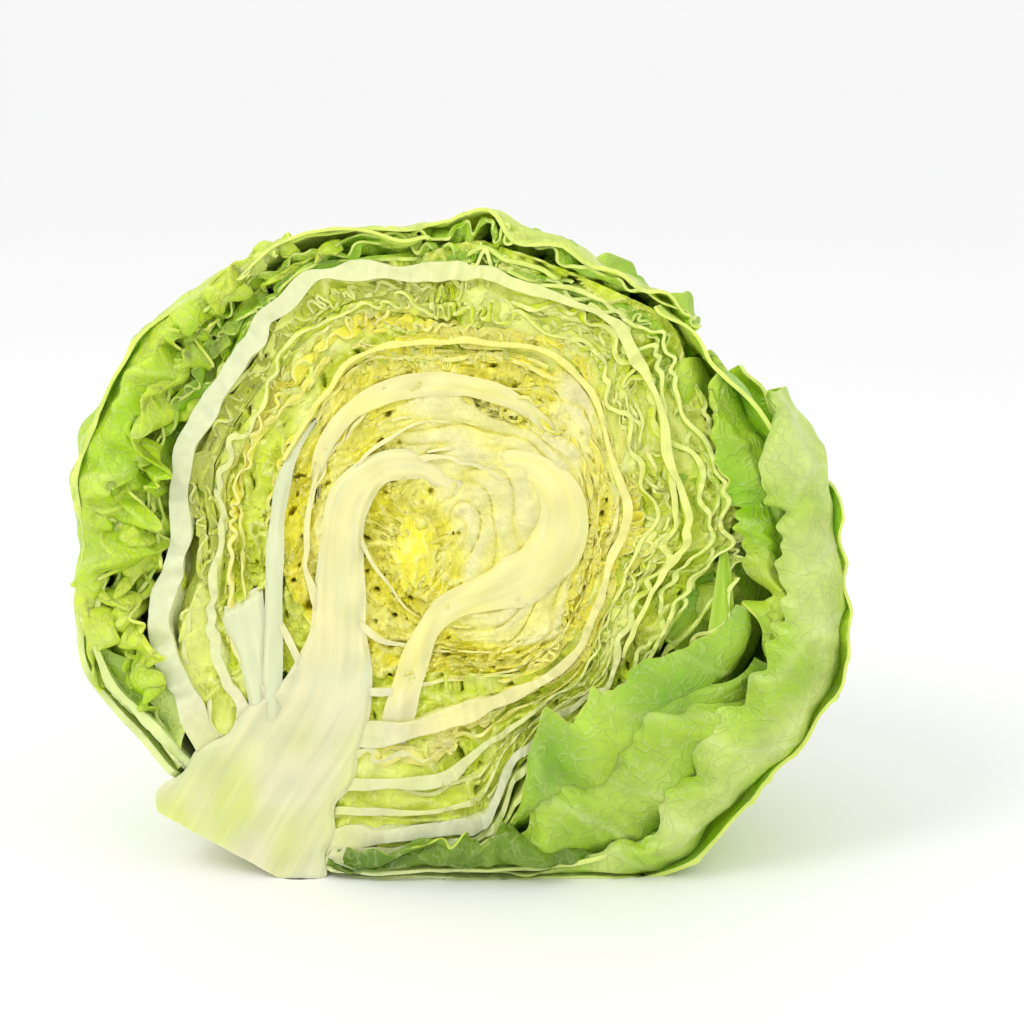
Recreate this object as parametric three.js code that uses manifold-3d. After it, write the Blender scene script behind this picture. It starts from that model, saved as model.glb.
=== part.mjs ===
// Half of a crisphead lettuce (sold as a round cabbage-like head), cut lengthwise with a knife.
// It is one cut core with 24 separate leaves around it, loose wrapper leaves outside, then the packed
// leaves of the head, then the heart leaves, and a folded bud in the middle. The half stands on the
// flat spot where its own weight presses the outer leaves, with the cut face looking along -Y and
// leaning back a little.
//
// Millimetres, +Z up. The origin is on the surface that it stands on, in the flat spot.
// Points are first worked out in the plane of the cut, as (across, back, up) from the middle of the
// heart: across is to the right, up lies in the cut face, and back goes away from the cut into the head.
// An angle is measured in the cut face, in degrees: 0 is to the right and 90 is straight up the face.
import * as THREE from "three";
import { mergeVertices } from "three/addons/utils/BufferGeometryUtils.js";
import Module from "manifold-3d";

const wasm = await Module();
wasm.setup();

// ---- driving dimensions ----
const LEAN = THREE.MathUtils.degToRad(10); // how far the cut face leans back
const HEART_ACROSS = -6; // the middle of the heart, seen from the origin
const HEART_BACK = -12;
const HEART_UP = 79;
const PRESS = 0.45; // how much of its spacing a leaf keeps where the head's weight presses it down
const GAP = 0.35; // clearance between a leaf's foot and the core
const STATION = 12; // degrees between the stations that all the packed leaves share
const FOOT_ROOM = 3; // least degrees from a packed leaf's foot to its first shared station
const TIP_ROOM = 1; // and from its last shared station to its tip
const RIB_REACH = 0.625; // share of a packed leaf over which it thins from rib to edge
const DEPTHS = [0, 12, 25, 40, 56, 72, 82]; // degrees back from the cut

// The closed outlines that the leaves follow, from the middle out. In the cut, the radius is
// mean + swing * cos(angle - towards) + oval * cos(2 * (angle - ovalTowards)); at the back it is back.
// spread is how far the outline bulges behind the cut at its underside, where the weight spreads it.
const OUTLINES = [
  { mean: 4, swing: 0, towards: 0, oval: 0, ovalTowards: 0, back: 4, spread: 0 },
  { mean: 42, swing: 4, towards: 110, oval: 0, ovalTowards: 0, back: 40, spread: 0 },
  { mean: 64.5, swing: 8.5, towards: 200, oval: 0, ovalTowards: 0, back: 62, spread: 5 },
  { mean: 84.5, swing: 8, towards: 268, oval: 5.5, ovalTowards: 165, back: 82, spread: 11 },
];
const UNDERSIDE = 270; // the angle of the underside
const OUTERMOST = OUTLINES.length - 1;

// The core's middle line in the cut face, from the stem end up into the heart, with its radius there.
const CORE = [
  { across: -50.9, up: -74.4, radius: 23.4 },
  { across: -42, up: -63, radius: 19 },
  { across: -33, up: -52, radius: 13.5 },
  { across: -27, up: -43, radius: 9 },
  { across: -25, up: -30, radius: 6 },
  { across: -24, up: -18, radius: 5 },
  { across: -17, up: 2, radius: 3.4 },
];
const CORE_STEPS = 14;
const CORE_SIDES = 24;
const CORE_SAMPLES = 60; // points at which the middle line is searched
const STEM_END = 236; // the direction of the stem end

// A packed leaf follows one outline from the core to its tip. level is where it lies between the
// outlines, side is 1 if it climbs the right side and -1 the left, tip is the angle where it ends,
// rib and edge are its thickness at the core and at the tip.
const PACKED_LEAVES = [
  { name: "loose_leaf_1", level: 2.51, side: 1, tip: 24, rib: 1.4, edge: 1.1 },
  { name: "loose_leaf_2", level: 2.25, side: 1, tip: 60, rib: 1.5, edge: 1 },
  { name: "loose_leaf_3", level: 2.13, side: 1, tip: 84, rib: 1.4, edge: 1 },
  { name: "head_leaf_1", level: 2, side: -1, tip: -36, rib: 5.6, edge: 1.3 },
  { name: "head_leaf_2", level: 1.85, side: 1, tip: 72, rib: 2.6, edge: 1.1 },
  { name: "head_leaf_3", level: 1.73, side: -1, tip: 96, rib: 1.9, edge: 1.1 },
  { name: "head_leaf_4", level: 1.62, side: 1, tip: 84, rib: 2.2, edge: 1.1 },
  { name: "head_leaf_5", level: 1.5, side: -1, tip: 48, rib: 2.4, edge: 1.1 },
  { name: "head_leaf_6", level: 1.38, side: 1, tip: 60, rib: 2, edge: 1.1 },
  { name: "head_leaf_7", level: 1.27, side: -1, tip: 108, rib: 2.4, edge: 1.1 },
  { name: "head_leaf_8", level: 1.14, side: 1, tip: 96, rib: 1.6, edge: 1.1 },
  { name: "heart_leaf_1", level: 1, side: 1, tip: 156, rib: 3.4, edge: 1.3 },
  { name: "heart_leaf_2", level: 0.89, side: -1, tip: 24, rib: 2.6, edge: 1.3 },
  { name: "heart_leaf_3", level: 0.78, side: 1, tip: 132, rib: 2.6, edge: 1.3 },
  { name: "heart_leaf_4", level: 0.67, side: -1, tip: 12, rib: 2.6, edge: 1.3 },
  { name: "heart_leaf_5", level: 0.56, side: 1, tip: 120, rib: 2.6, edge: 1.3 },
  { name: "heart_leaf_6", level: 0.45, side: -1, tip: 0, rib: 2.4, edge: 1.3 },
  { name: "heart_leaf_7", level: 0.34, side: 1, tip: 108, rib: 2.2, edge: 1.3 },
  { name: "heart_leaf_8", level: 0.23, side: -1, tip: -24, rib: 1.6, edge: 1.2 },
];

// A wrapper leaf is broad, and hugs the outside of the head. heading is the side that its midrib takes
// from the stem end: 0 is left in the cut face, 90 is straight back and 180 is right. reach is how far
// it goes over the head, in degrees from the stem end, and half is how far it spreads to each side.
const WRAPPER_LEAVES = [
  { name: "wrapper_leaf_1", level: 3, heading: 128, reach: 140, half: 86, thick: 1.6 },
  { name: "wrapper_leaf_2", level: 2.84, heading: 38, reach: 178, half: 78, thick: 1.5 },
  { name: "wrapper_leaf_3", level: 2.67, heading: 168, reach: 166, half: 62, thick: 1.4 },
  { name: "wrapper_leaf_4", level: 2.64, heading: 14, reach: 136, half: 56, thick: 1.3 },
  { name: "wrapper_leaf_5", level: 2.36, heading: 84, reach: 180, half: 64, thick: 1.2 },
];
const WRAPPER_START = 12; // degrees from the stem end to a wrapper leaf's foot
const WRAPPER_LENGTHWISE = 15;
const WRAPPER_ACROSS = 12;
const FOOT_SHARE = 0.42; // how wide a wrapper leaf is at its foot, as a share of its full width
const WIDTH_HOLDS = 0.62; // share of its length beyond which a wrapper leaf keeps its width
const WIDTH_POWER = 0.8; // how soon it widens: under 1 is sooner
const TIP_ROUND = 0.18; // how much shorter a wrapper leaf is at its sides than in its middle

const HEAD_LEVEL = 2; // leaves above this level are loose
const HEART_LEVEL = 1; // leaves above this level belong to the head, the others to the heart
const BUD_LEVEL = 0.1;
const BUD_SIDES = 16;
const BUD_RINGS = 10;

const KNIFE_BLOCK = 600; // side of the block that stands for the space behind the cut
const WELD = 1e-3; // points closer than this are one

const radians = THREE.MathUtils.degToRad;

// ---- the shape of the head ----

/** Radius of one outline, in a direction given by its angle and its depth in degrees. */
function outlineRadius(outline, angle, depth) {
  const { mean, swing, towards, oval, ovalTowards, back, spread } = outline;
  const inTheCut =
    mean +
    swing * Math.cos(radians(angle - towards)) +
    oval * Math.cos(2 * radians(angle - ovalTowards));
  const backShare = Math.sin(radians(depth)) ** 2;
  const under = Math.max(Math.cos(radians(angle - UNDERSIDE)), 0) ** 2;
  const bulge = spread * under * Math.sin(2 * radians(depth)) ** 2;
  return THREE.MathUtils.lerp(inTheCut, back, backShare) + bulge;
}

/** Radius of the head at a level, in a direction given by its angle and its depth in degrees. */
function radiusAt(level, angle, depth) {
  const inner = Math.min(Math.floor(level), OUTERMOST - 1);
  return THREE.MathUtils.lerp(
    outlineRadius(OUTLINES[inner], angle, depth),
    outlineRadius(OUTLINES[inner + 1], angle, depth),
    level - inner,
  );
}

/** Stands a point of the head on the surface: leans it back, and presses it up where it is too low. */
function stand(across, back, up, inside) {
  const low = HEART_UP + up * Math.cos(LEAN) - back * Math.sin(LEAN);
  return new THREE.Vector3(
    HEART_ACROSS + across,
    HEART_BACK + back * Math.cos(LEAN) + up * Math.sin(LEAN),
    Math.max(low, PRESS * inside),
  );
}

/** The point in a direction of the head, on a level, sunk by a distance towards the heart. */
function shellPoint(level, angle, depth, sunk) {
  const radius = radiusAt(level, angle, depth) - sunk;
  const flat = radius * Math.cos(radians(depth));
  return stand(
    flat * Math.cos(radians(angle)),
    radius * Math.sin(radians(depth)),
    flat * Math.sin(radians(angle)),
    Math.max(radiusAt(OUTERMOST, angle, depth) - radius, 0),
  );
}

// ---- closed meshes ----

/** A closed sheet between an outer and an inner grid of points, each of rows by columns. */
function closedSheet(rows, columns, outerPoint, innerPoint) {
  const points = [];
  for (const pointAt of [outerPoint, innerPoint])
    for (let i = 0; i <= rows; i++)
      for (let j = 0; j <= columns; j++) points.push(...pointAt(i, j).toArray());
  const side = (rows + 1) * (columns + 1);
  const at = (layer, i, j) => layer * side + i * (columns + 1) + j;
  const faces = [];
  const quad = (a, b, c, d) => faces.push(a, b, c, a, c, d);
  for (let i = 0; i < rows; i++)
    for (let j = 0; j < columns; j++) {
      quad(at(0, i, j), at(0, i + 1, j), at(0, i + 1, j + 1), at(0, i, j + 1));
      quad(at(1, i, j), at(1, i, j + 1), at(1, i + 1, j + 1), at(1, i + 1, j));
    }
  for (let i = 0; i < rows; i++) {
    quad(at(0, i, 0), at(1, i, 0), at(1, i + 1, 0), at(0, i + 1, 0));
    quad(at(0, i, columns), at(0, i + 1, columns), at(1, i + 1, columns), at(1, i, columns));
  }
  for (let j = 0; j < columns; j++) {
    quad(at(0, 0, j), at(0, 0, j + 1), at(1, 0, j + 1), at(1, 0, j));
    quad(at(0, rows, j), at(1, rows, j), at(1, rows, j + 1), at(0, rows, j + 1));
  }
  const geometry = new THREE.BufferGeometry();
  geometry.setAttribute("position", new THREE.Float32BufferAttribute(points, 3));
  geometry.setIndex(faces);
  return geometry;
}

/** The manifold-3d solid of a closed geometry, turned the right way out. */
function solidOf(geometry) {
  const bare = new THREE.BufferGeometry()
    .setAttribute("position", geometry.getAttribute("position").clone())
    .setIndex(geometry.index.clone());
  const merged = mergeVertices(bare, WELD);
  const triVerts = new Uint32Array(merged.index.array);
  const vertProperties = merged.attributes.position.array;
  const solid = new wasm.Manifold(new wasm.Mesh({ numProp: 3, vertProperties, triVerts }));
  if (solid.volume() > 0) return solid;
  for (let i = 0; i < triVerts.length; i += 3)
    [triVerts[i + 1], triVerts[i + 2]] = [triVerts[i + 2], triVerts[i + 1]];
  return new wasm.Manifold(new wasm.Mesh({ numProp: 3, vertProperties, triVerts }));
}

/** The three.js geometry of a manifold-3d solid's largest body. */
function geometryOf(solid) {
  const [largest] = solid.decompose().sort((a, b) => b.volume() - a.volume());
  const { numProp, vertProperties, triVerts } = largest.getMesh();
  const points = [];
  for (let i = 0; i < vertProperties.length; i += numProp)
    points.push(vertProperties[i], vertProperties[i + 1], vertProperties[i + 2]);
  const geometry = new THREE.BufferGeometry();
  geometry.setAttribute("position", new THREE.Float32BufferAttribute(points, 3));
  geometry.setIndex([...triVerts]);
  return geometry;
}

/** The space behind the knife's cut, as one big block. */
function behindTheCut() {
  const block = new THREE.BoxGeometry(KNIFE_BLOCK, KNIFE_BLOCK, KNIFE_BLOCK);
  block.translate(0, KNIFE_BLOCK / 2, 0);
  block.rotateX(-LEAN);
  block.translate(HEART_ACROSS, HEART_BACK, HEART_UP);
  return solidOf(block);
}

// ---- the pieces ----

/** The core's middle line as a smooth curve through its points, in (across, up, radius). */
const coreLine = new THREE.CatmullRomCurve3(
  CORE.map(({ across, up, radius }) => new THREE.Vector3(across, up, radius)),
);

/** The core with its radius grown, as a round stalk that is not yet cut in half. */
function roundCore(grown) {
  const ring = (t) => {
    const { x, y, z: radius } = coreLine.getPoint(t);
    const along = coreLine.getTangent(t).setZ(0).normalize();
    return { x, y, radius: radius + grown, along };
  };
  const rimPoint = (i, j, share) => {
    const { x, y, radius, along } = ring(i / CORE_STEPS);
    const turn = (2 * Math.PI * j) / CORE_SIDES;
    const sideways = share * radius * Math.cos(turn);
    const back = share * radius * Math.sin(turn);
    return new THREE.Vector3(x - along.y * sideways, back, y + along.x * sideways);
  };
  const points = [];
  for (let i = 0; i <= CORE_STEPS; i++)
    for (let j = 0; j < CORE_SIDES; j++) points.push(rimPoint(i, j, 1));
  const foot = points.push(rimPoint(0, 0, 0)) - 1;
  const tip = points.push(rimPoint(CORE_STEPS, 0, 0)) - 1;
  const faces = [];
  for (let j = 0; j < CORE_SIDES; j++) {
    const next = (j + 1) % CORE_SIDES;
    for (let i = 0; i < CORE_STEPS; i++) {
      const [a, b] = [i * CORE_SIDES, (i + 1) * CORE_SIDES];
      faces.push(a + j, a + next, b + next, a + j, b + next, b + j);
    }
    faces.push(foot, next, j);
    faces.push(tip, CORE_STEPS * CORE_SIDES + j, CORE_STEPS * CORE_SIDES + next);
  }
  const stood = points.flatMap(({ x, y, z }) => stand(x, y, z, 0).toArray());
  const geometry = new THREE.BufferGeometry();
  geometry.setAttribute("position", new THREE.Float32BufferAttribute(stood, 3));
  geometry.setIndex(faces);
  return solidOf(geometry);
}

/** The direction of the core's middle line, at a distance from the middle of the heart. */
function coreAngle(radius) {
  for (const { x, y } of coreLine.getPoints(CORE_SAMPLES).reverse())
    if (Math.hypot(x, y) >= radius) return (THREE.MathUtils.radToDeg(Math.atan2(y, x)) + 360) % 360;
  return STEM_END;
}

/** The angles at which a packed leaf has stations, from the core to its tip. */
function stationsOf({ level, side, tip }) {
  const root = coreAngle(radiusAt(level, STEM_END, 0)) - (side > 0 ? 360 : 0);
  const [low, high] = [Math.min(root, tip), Math.max(root, tip)];
  const shared = [];
  const [lowRoom, highRoom] = side > 0 ? [FOOT_ROOM, TIP_ROOM] : [TIP_ROOM, FOOT_ROOM];
  const first = STATION * Math.ceil((low + lowRoom) / STATION);
  for (let angle = first; angle < high - highRoom; angle += STATION) shared.push(angle);
  const stations = [low, ...shared, high];
  return side > 0 ? stations : stations.reverse();
}

/** One packed leaf: a bowl from the cut to near the back, thick at the core and thin at its tip. */
function packedLeaf(leaf) {
  const stations = stationsOf(leaf);
  const last = stations.length - 1;
  const pointAt = (i, j, face) => {
    const thick = THREE.MathUtils.lerp(leaf.rib, leaf.edge, Math.min(i / last / RIB_REACH, 1));
    return shellPoint(leaf.level, stations[i], DEPTHS[j], face * thick);
  };
  return solidOf(
    closedSheet(
      last,
      DEPTHS.length - 1,
      (i, j) => pointAt(i, j, 0),
      (i, j) => pointAt(i, j, 1),
    ),
  );
}

/** One wrapper leaf, before the cut: a broad sheet that spreads from the stem end over the outside. */
function wrapperLeaf({ level, heading, reach, half, thick }) {
  const root = new THREE.Vector3(Math.cos(radians(STEM_END)), 0, Math.sin(radians(STEM_END)));
  const left = new THREE.Vector3(
    Math.cos(radians(STEM_END - 90)),
    0,
    Math.sin(radians(STEM_END - 90)),
  );
  const midrib = left
    .clone()
    .multiplyScalar(Math.cos(radians(heading)))
    .add(new THREE.Vector3(0, Math.sin(radians(heading)), 0));
  const sideways = new THREE.Vector3().crossVectors(root, midrib);
  const pointAt = (i, j, sunk) => {
    const along = i / WRAPPER_LENGTHWISE;
    const across = (2 * j) / WRAPPER_ACROSS - 1;
    const widening = Math.sin(Math.PI * Math.min(along, WIDTH_HOLDS)) ** WIDTH_POWER;
    const width = THREE.MathUtils.lerp(FOOT_SHARE, 1, widening);
    const spread = radians(half * width * across);
    const climb = radians(WRAPPER_START + (reach - WRAPPER_START) * along * (1 - TIP_ROUND * across ** 2));
    const direction = root
      .clone()
      .multiplyScalar(Math.cos(climb))
      .addScaledVector(midrib, Math.sin(climb))
      .multiplyScalar(Math.cos(spread))
      .addScaledVector(sideways, Math.sin(spread));
    const angle = THREE.MathUtils.radToDeg(Math.atan2(direction.z, direction.x));
    const depth = THREE.MathUtils.radToDeg(Math.asin(THREE.MathUtils.clamp(direction.y, -1, 1)));
    return shellPoint(level, angle, depth, sunk);
  };
  return solidOf(
    closedSheet(
      WRAPPER_LENGTHWISE,
      WRAPPER_ACROSS,
      (i, j) => pointAt(i, j, 0),
      (i, j) => pointAt(i, j, thick),
    ),
  );
}

/** The folded bud in the middle of the heart, before the cut. */
function bud() {
  const radius = radiusAt(BUD_LEVEL, 0, 0);
  const ball = new THREE.SphereGeometry(radius, BUD_SIDES, BUD_RINGS);
  ball.deleteAttribute("normal");
  ball.deleteAttribute("uv");
  ball.rotateX(-LEAN);
  ball.translate(HEART_ACROSS, HEART_BACK, HEART_UP);
  return solidOf(mergeVertices(ball, WELD));
}

// ---- the colours, from the wrappers in to the core ----
const WRAPPER_GREEN = new THREE.Color(0x8fbf3a);
const HEAD_GREEN = new THREE.Color(0xcfe08a);
const HEART_YELLOW = new THREE.Color(0xeee68c);
const CORE_CREAM = new THREE.Color(0xf0f0cc);

/** A leaf or core finish: moist plant tissue of one colour. */
function flesh(color) {
  return new THREE.MeshStandardMaterial({ color, roughness: 0.45, metalness: 0 });
}

/** The colour of a packed leaf, by its level. */
function packedColor(level) {
  if (level > HEAD_LEVEL) return WRAPPER_GREEN;
  return level > HEART_LEVEL ? HEAD_GREEN : HEART_YELLOW;
}

// ---- putting it together ----
const lettuce = new THREE.Group();

/** Adds one solid to the head as a named piece. */
function addPiece(name, solid, color) {
  const mesh = new THREE.Mesh(geometryOf(solid), flesh(color));
  mesh.name = name;
  lettuce.add(mesh);
}

const knifeSide = behindTheCut();
const coreRoom = roundCore(GAP);

addPiece("core", roundCore(0).intersect(knifeSide), CORE_CREAM);
for (const leaf of WRAPPER_LEAVES)
  addPiece(leaf.name, wrapperLeaf(leaf).intersect(knifeSide).subtract(coreRoom), WRAPPER_GREEN);
for (const leaf of PACKED_LEAVES)
  addPiece(leaf.name, packedLeaf(leaf).subtract(coreRoom), packedColor(leaf.level));
addPiece("heart_bud", bud().intersect(knifeSide).subtract(coreRoom), HEART_YELLOW);

export default lettuce;
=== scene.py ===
"""Looks of a halved crisphead lettuce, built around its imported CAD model.

Every leaf of the CAD model is replaced by a crinkled sheet that grows from the same core, follows the
same outline of the head and ends on the same cut. Points are worked out in the plane of the cut first,
in millimetres, as (across, back, up) from the middle of the heart: across is to the right, up lies in
the cut face and back goes away from the cut into the head. The finished sheets are then leant back and
pressed onto the surface, as the CAD model is, and are in metres from there on.
"""

import logging
import math
from dataclasses import dataclass, field
from enum import Enum

import bmesh
import bpy
import numpy as np
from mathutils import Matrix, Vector

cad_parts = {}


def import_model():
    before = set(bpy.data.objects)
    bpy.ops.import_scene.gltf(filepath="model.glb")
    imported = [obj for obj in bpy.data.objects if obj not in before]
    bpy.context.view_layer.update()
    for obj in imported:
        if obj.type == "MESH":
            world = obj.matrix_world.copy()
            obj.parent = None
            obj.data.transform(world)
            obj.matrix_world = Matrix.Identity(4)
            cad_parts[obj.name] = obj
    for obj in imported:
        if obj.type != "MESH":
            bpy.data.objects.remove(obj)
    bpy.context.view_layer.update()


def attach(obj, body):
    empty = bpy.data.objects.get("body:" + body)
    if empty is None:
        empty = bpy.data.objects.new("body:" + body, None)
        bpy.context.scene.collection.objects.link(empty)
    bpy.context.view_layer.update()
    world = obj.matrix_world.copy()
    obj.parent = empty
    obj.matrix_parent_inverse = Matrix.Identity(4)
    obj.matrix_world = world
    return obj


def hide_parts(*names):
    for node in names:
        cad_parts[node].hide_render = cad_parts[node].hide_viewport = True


log = logging.getLogger("lettuce")
MM = 0.001
Array = np.ndarray
Colour = tuple[float, float, float]
IN_CUT = np.array([1.0, 0.0, 1.0])
HEART_LEVEL = 1.35
HEART_RADIUS = 42.0
OUTSIDE_LEVEL = 2.9


class Side(Enum):
    """The side of the core that a packed leaf climbs."""

    LEFT = -1
    RIGHT = 1


def smoothstep(value: Array, low: float, high: float) -> Array:
    """Rises smoothly from 0 at low to 1 at high."""
    t = np.clip((value - low) / (high - low), 0.0, 1.0)
    return t * t * (3.0 - 2.0 * t)


def lerp(a: Array, b: Array, t: Array) -> Array:
    """The value a share t of the way from a to b."""
    return a + (b - a) * t


def smooth_line(points: tuple[tuple[float, ...], ...], count: int) -> Array:
    """Draws a smooth line through a few points.

    Args:
        points: the points, each a tuple of numbers that change along the line.
        count: how many points the smooth line has.

    Returns:
        Count rows of the same numbers.
    """
    line = np.array(points)
    t = np.linspace(0.0, len(line) - 1.0, count)
    place = np.stack([np.interp(t, np.arange(len(line)), line[:, k]) for k in range(line.shape[1])], axis=-1)
    half = max(int(0.85 * count / (len(line) - 1)), 1)
    kernel = np.hanning(2 * half + 3)[1:-1]
    kernel /= kernel.sum()
    padded = np.pad(place, ((half, half), (0, 0)), mode="reflect", reflect_type="odd")
    return np.stack([np.convolve(padded[:, k], kernel, mode="valid") for k in range(line.shape[1])], axis=-1)


@dataclass(frozen=True)
class Swell:
    """Smooth random waves in space, as a seeded sum of sines."""

    seed: int
    wavelength: float
    waves: int = 14

    def __call__(self, points: Array) -> Array:
        """Samples the waves.

        Args:
            points: coordinates with three numbers in the last axis.

        Returns:
            A value of about -1 to 1 for each point.
        """
        rng = np.random.default_rng(self.seed)
        turn = rng.normal(size=(self.waves, 3))
        turn /= np.linalg.norm(turn, axis=1)[:, None]
        pitch = 2.0 * math.pi / (self.wavelength * rng.uniform(0.7, 1.6, self.waves))
        phase = rng.uniform(0.0, 2.0 * math.pi, self.waves)
        total = np.zeros(points.shape[:-1])
        for way, k, start in zip(turn, pitch, phase):
            total += np.sin(k * (points @ way) + start)
        return total / math.sqrt(self.waves) * 0.9


# ---------------------------------------------------------------- the form of the head


@dataclass(frozen=True)
class Outline:
    """A closed outline round the heart, in mm and degrees, as in the CAD source."""

    mean: float
    swing: float
    towards: float
    oval: float
    oval_towards: float
    back: float
    spread: float

    def radius(self, angle: Array, depth: Array) -> Array:
        """Works out how far the outline is from the heart.

        Args:
            angle: the direction in the cut, in degrees.
            depth: the direction away from the cut, in degrees.

        Returns:
            The radius in mm.
        """
        in_cut = (
            self.mean
            + self.swing * np.cos(np.radians(angle - self.towards))
            + self.oval * np.cos(2.0 * np.radians(angle - self.oval_towards))
        )
        share = np.sin(np.radians(depth)) ** 2
        under = np.maximum(np.cos(np.radians(angle - 270.0)), 0.0) ** 2
        return lerp(in_cut, self.back, share) + self.spread * under * np.sin(2.0 * np.radians(depth)) ** 2


@dataclass
class Head:
    """The form that all the leaves share: its outlines, its core line and how it stands."""

    lean: float = math.radians(10.0)
    heart: Vector = field(default_factory=lambda: Vector((-6.0, -12.0, 79.0)))
    press: float = 0.45
    stem_end: float = 236.0
    outlines: tuple[Outline, ...] = (
        Outline(4.0, 0.0, 0.0, 0.0, 0.0, 4.0, 0.0),
        Outline(42.0, 4.0, 110.0, 0.0, 0.0, 40.0, 0.0),
        Outline(64.5, 8.5, 200.0, 0.0, 0.0, 62.0, 5.0),
        Outline(84.5, 8.0, 268.0, 5.5, 165.0, 82.0, 11.0),
    )
    core_line: tuple[tuple[float, float, float], ...] = (
        (-50.9, -74.4, 23.4),
        (-44.4, -62.5, 19.6),
        (-36.5, -51.0, 15.2),
        (-29.5, -41.0, 11.6),
        (-26.5, -29.0, 8.2),
        (-26.0, -16.5, 5.8),
        (-25.6, -4.0, 5.0),
        (-24.5, 7.0, 4.6),
        (-17.0, 15.0, 4.0),
        (-7.0, 15.0, 3.2),
        (1.0, 9.5, 2.2),
        (4.0, 3.0, 0.8),
    )

    def radius(self, level: Array, angle: Array, depth: Array) -> Array:
        """Works out how far a level between the outlines is from the heart.

        Args:
            level: 0 in the heart to 3 on the outermost outline.
            angle: the direction in the cut, in degrees.
            depth: the direction away from the cut, in degrees.

        Returns:
            The radius in mm.
        """
        last = len(self.outlines) - 2
        level = np.asarray(level, float) + np.zeros_like(angle)
        total = self.outlines[0].radius(angle, depth)
        for inner in range(last + 1):
            most = None if inner == last else 1.0
            step = np.clip(level - inner, 0.0, most)
            gain = self.outlines[inner + 1].radius(angle, depth) - self.outlines[inner].radius(angle, depth)
            total = total + step * gain
        return total

    def point(self, radius: Array, angle: Array, depth: Array) -> Array:
        """Finds a point of the head.

        Args:
            radius: how far from the heart, in mm.
            angle: the direction in the cut, in degrees.
            depth: the direction away from the cut, in degrees.

        Returns:
            The point (across, back, up) in mm.
        """
        a, d = np.radians(angle), np.radians(depth)
        flat = radius * np.cos(d)
        return np.stack([flat * np.cos(a), radius * np.sin(d), flat * np.sin(a)], axis=-1)

    def direction(self, points: Array) -> tuple[Array, Array, Array]:
        """Finds the direction of points of the head.

        Args:
            points: (across, back, up) in mm.

        Returns:
            Their radius in mm, and their angle and depth in degrees.
        """
        radius = np.linalg.norm(points, axis=-1) + 1e-9
        angle = np.degrees(np.arctan2(points[..., 2], points[..., 0]))
        depth = np.degrees(np.arcsin(np.clip(points[..., 1] / radius, -1.0, 1.0)))
        return radius, angle, depth

    def fine_core(self, count: int) -> Array:
        """The core's middle line, smoothed, as count rows of across, up and radius."""
        return smooth_line(self.core_line, count)

    def core_angle(self, radius: float) -> float:
        """Finds where the core's middle line is.

        Args:
            radius: the distance from the heart in mm.

        Returns:
            The direction in degrees.
        """
        line = self.fine_core(200)
        at = np.argmin(np.abs(np.hypot(line[:, 0], line[:, 1]) - radius))
        return math.degrees(math.atan2(line[at, 1], line[at, 0])) % 360.0

    def core_gap(self, points: Array) -> Array:
        """Works out how far points are from the round core.

        Args:
            points: (across, back, up) in mm.

        Returns:
            The gap in mm; less than 0 is inside.
        """
        line = self.fine_core(60)
        gap = np.full(points.shape[:-1], 1e9)
        for across, up, radius in line:
            spot = points - np.array([across, 0.0, up])
            gap = np.minimum(gap, np.linalg.norm(spot, axis=-1) - radius)
        return gap

    def cut_gap(self, points: Array) -> Array:
        """How far in mm each point is outside the core as it shows in the cut."""
        return self.core_gap(points * IN_CUT)

    def stand(self, points: Array) -> Array:
        """Leans points of the head back and presses them onto the surface.

        Args:
            points: (across, back, up) in mm.

        Returns:
            Points of the row frame, in metres.
        """
        radius, angle, depth = self.direction(points)
        inside = np.maximum(self.radius(len(self.outlines) - 1, angle, depth) - radius, 0.0)
        across, back, up = points[..., 0], points[..., 1], points[..., 2]
        height = self.heart.z + up * math.cos(self.lean) - back * math.sin(self.lean)
        height = np.maximum(height, self.press * inside + 0.02)
        behind = self.heart.y + back * math.cos(self.lean) + up * math.sin(self.lean)
        return np.stack([self.heart.x + across, behind, height], axis=-1) * MM


HEAD = Head()
SWIRL = (Swell(3, 46.0), Swell(4, 46.0), Swell(5, 21.0), Swell(6, 21.0))
BEND = 3.2
RIPPLE = 0.7
HEART_MOVE = (2.0, -6.0)
LOOSE_SIDE = -40.0
LOOSE_WIDTHS = (50.0, 34.0)
LOOSE_ROOM = 0.21
CURLY_SIDE = 158.0
CURLY_WIDTH = 52.0
CURLY_ROOM = 0.13


def squeeze(points: Array) -> Array:
    """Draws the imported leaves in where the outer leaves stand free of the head.

    Args:
        points: (across, back, up) in mm.

    Returns:
        The drawn-in points.
    """
    radius, angle, _ = HEAD.direction(points)
    loose_width = np.where(angle < LOOSE_SIDE, *LOOSE_WIDTHS)
    loose = np.exp(-(((angle - LOOSE_SIDE) / loose_width) ** 2))
    curly = np.exp(-((((angle - CURLY_SIDE + 180.0) % 360.0 - 180.0) / CURLY_WIDTH) ** 2))
    share = 1.0 - (LOOSE_ROOM * loose + CURLY_ROOM * curly) * smoothstep(radius, 18.0, 70.0)
    return points * share[..., None]


def organic(points: Array) -> Array:
    """Bends the whole head gently in the plane of the cut, the same for every leaf.

    Args:
        points: (across, back, up) in mm.

    Returns:
        The bent points. The cut stays in its plane.
    """
    radius = np.linalg.norm(points, axis=-1)
    near = smoothstep(HEAD.cut_gap(points), 0.0, 16.0)
    room = near * (1.0 - 0.55 * smoothstep(radius, 60.0, 84.0))
    heart = near * (1.0 - smoothstep(radius, 8.0, 44.0))
    moved = points.copy()
    for axis, wide, fine, move in zip((0, 2), SWIRL[:2], SWIRL[2:], HEART_MOVE):
        moved[..., axis] += room * (BEND * wide(points) + RIPPLE * fine(points)) + move * heart
    return moved


# ---------------------------------------------------------------- colours


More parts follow.
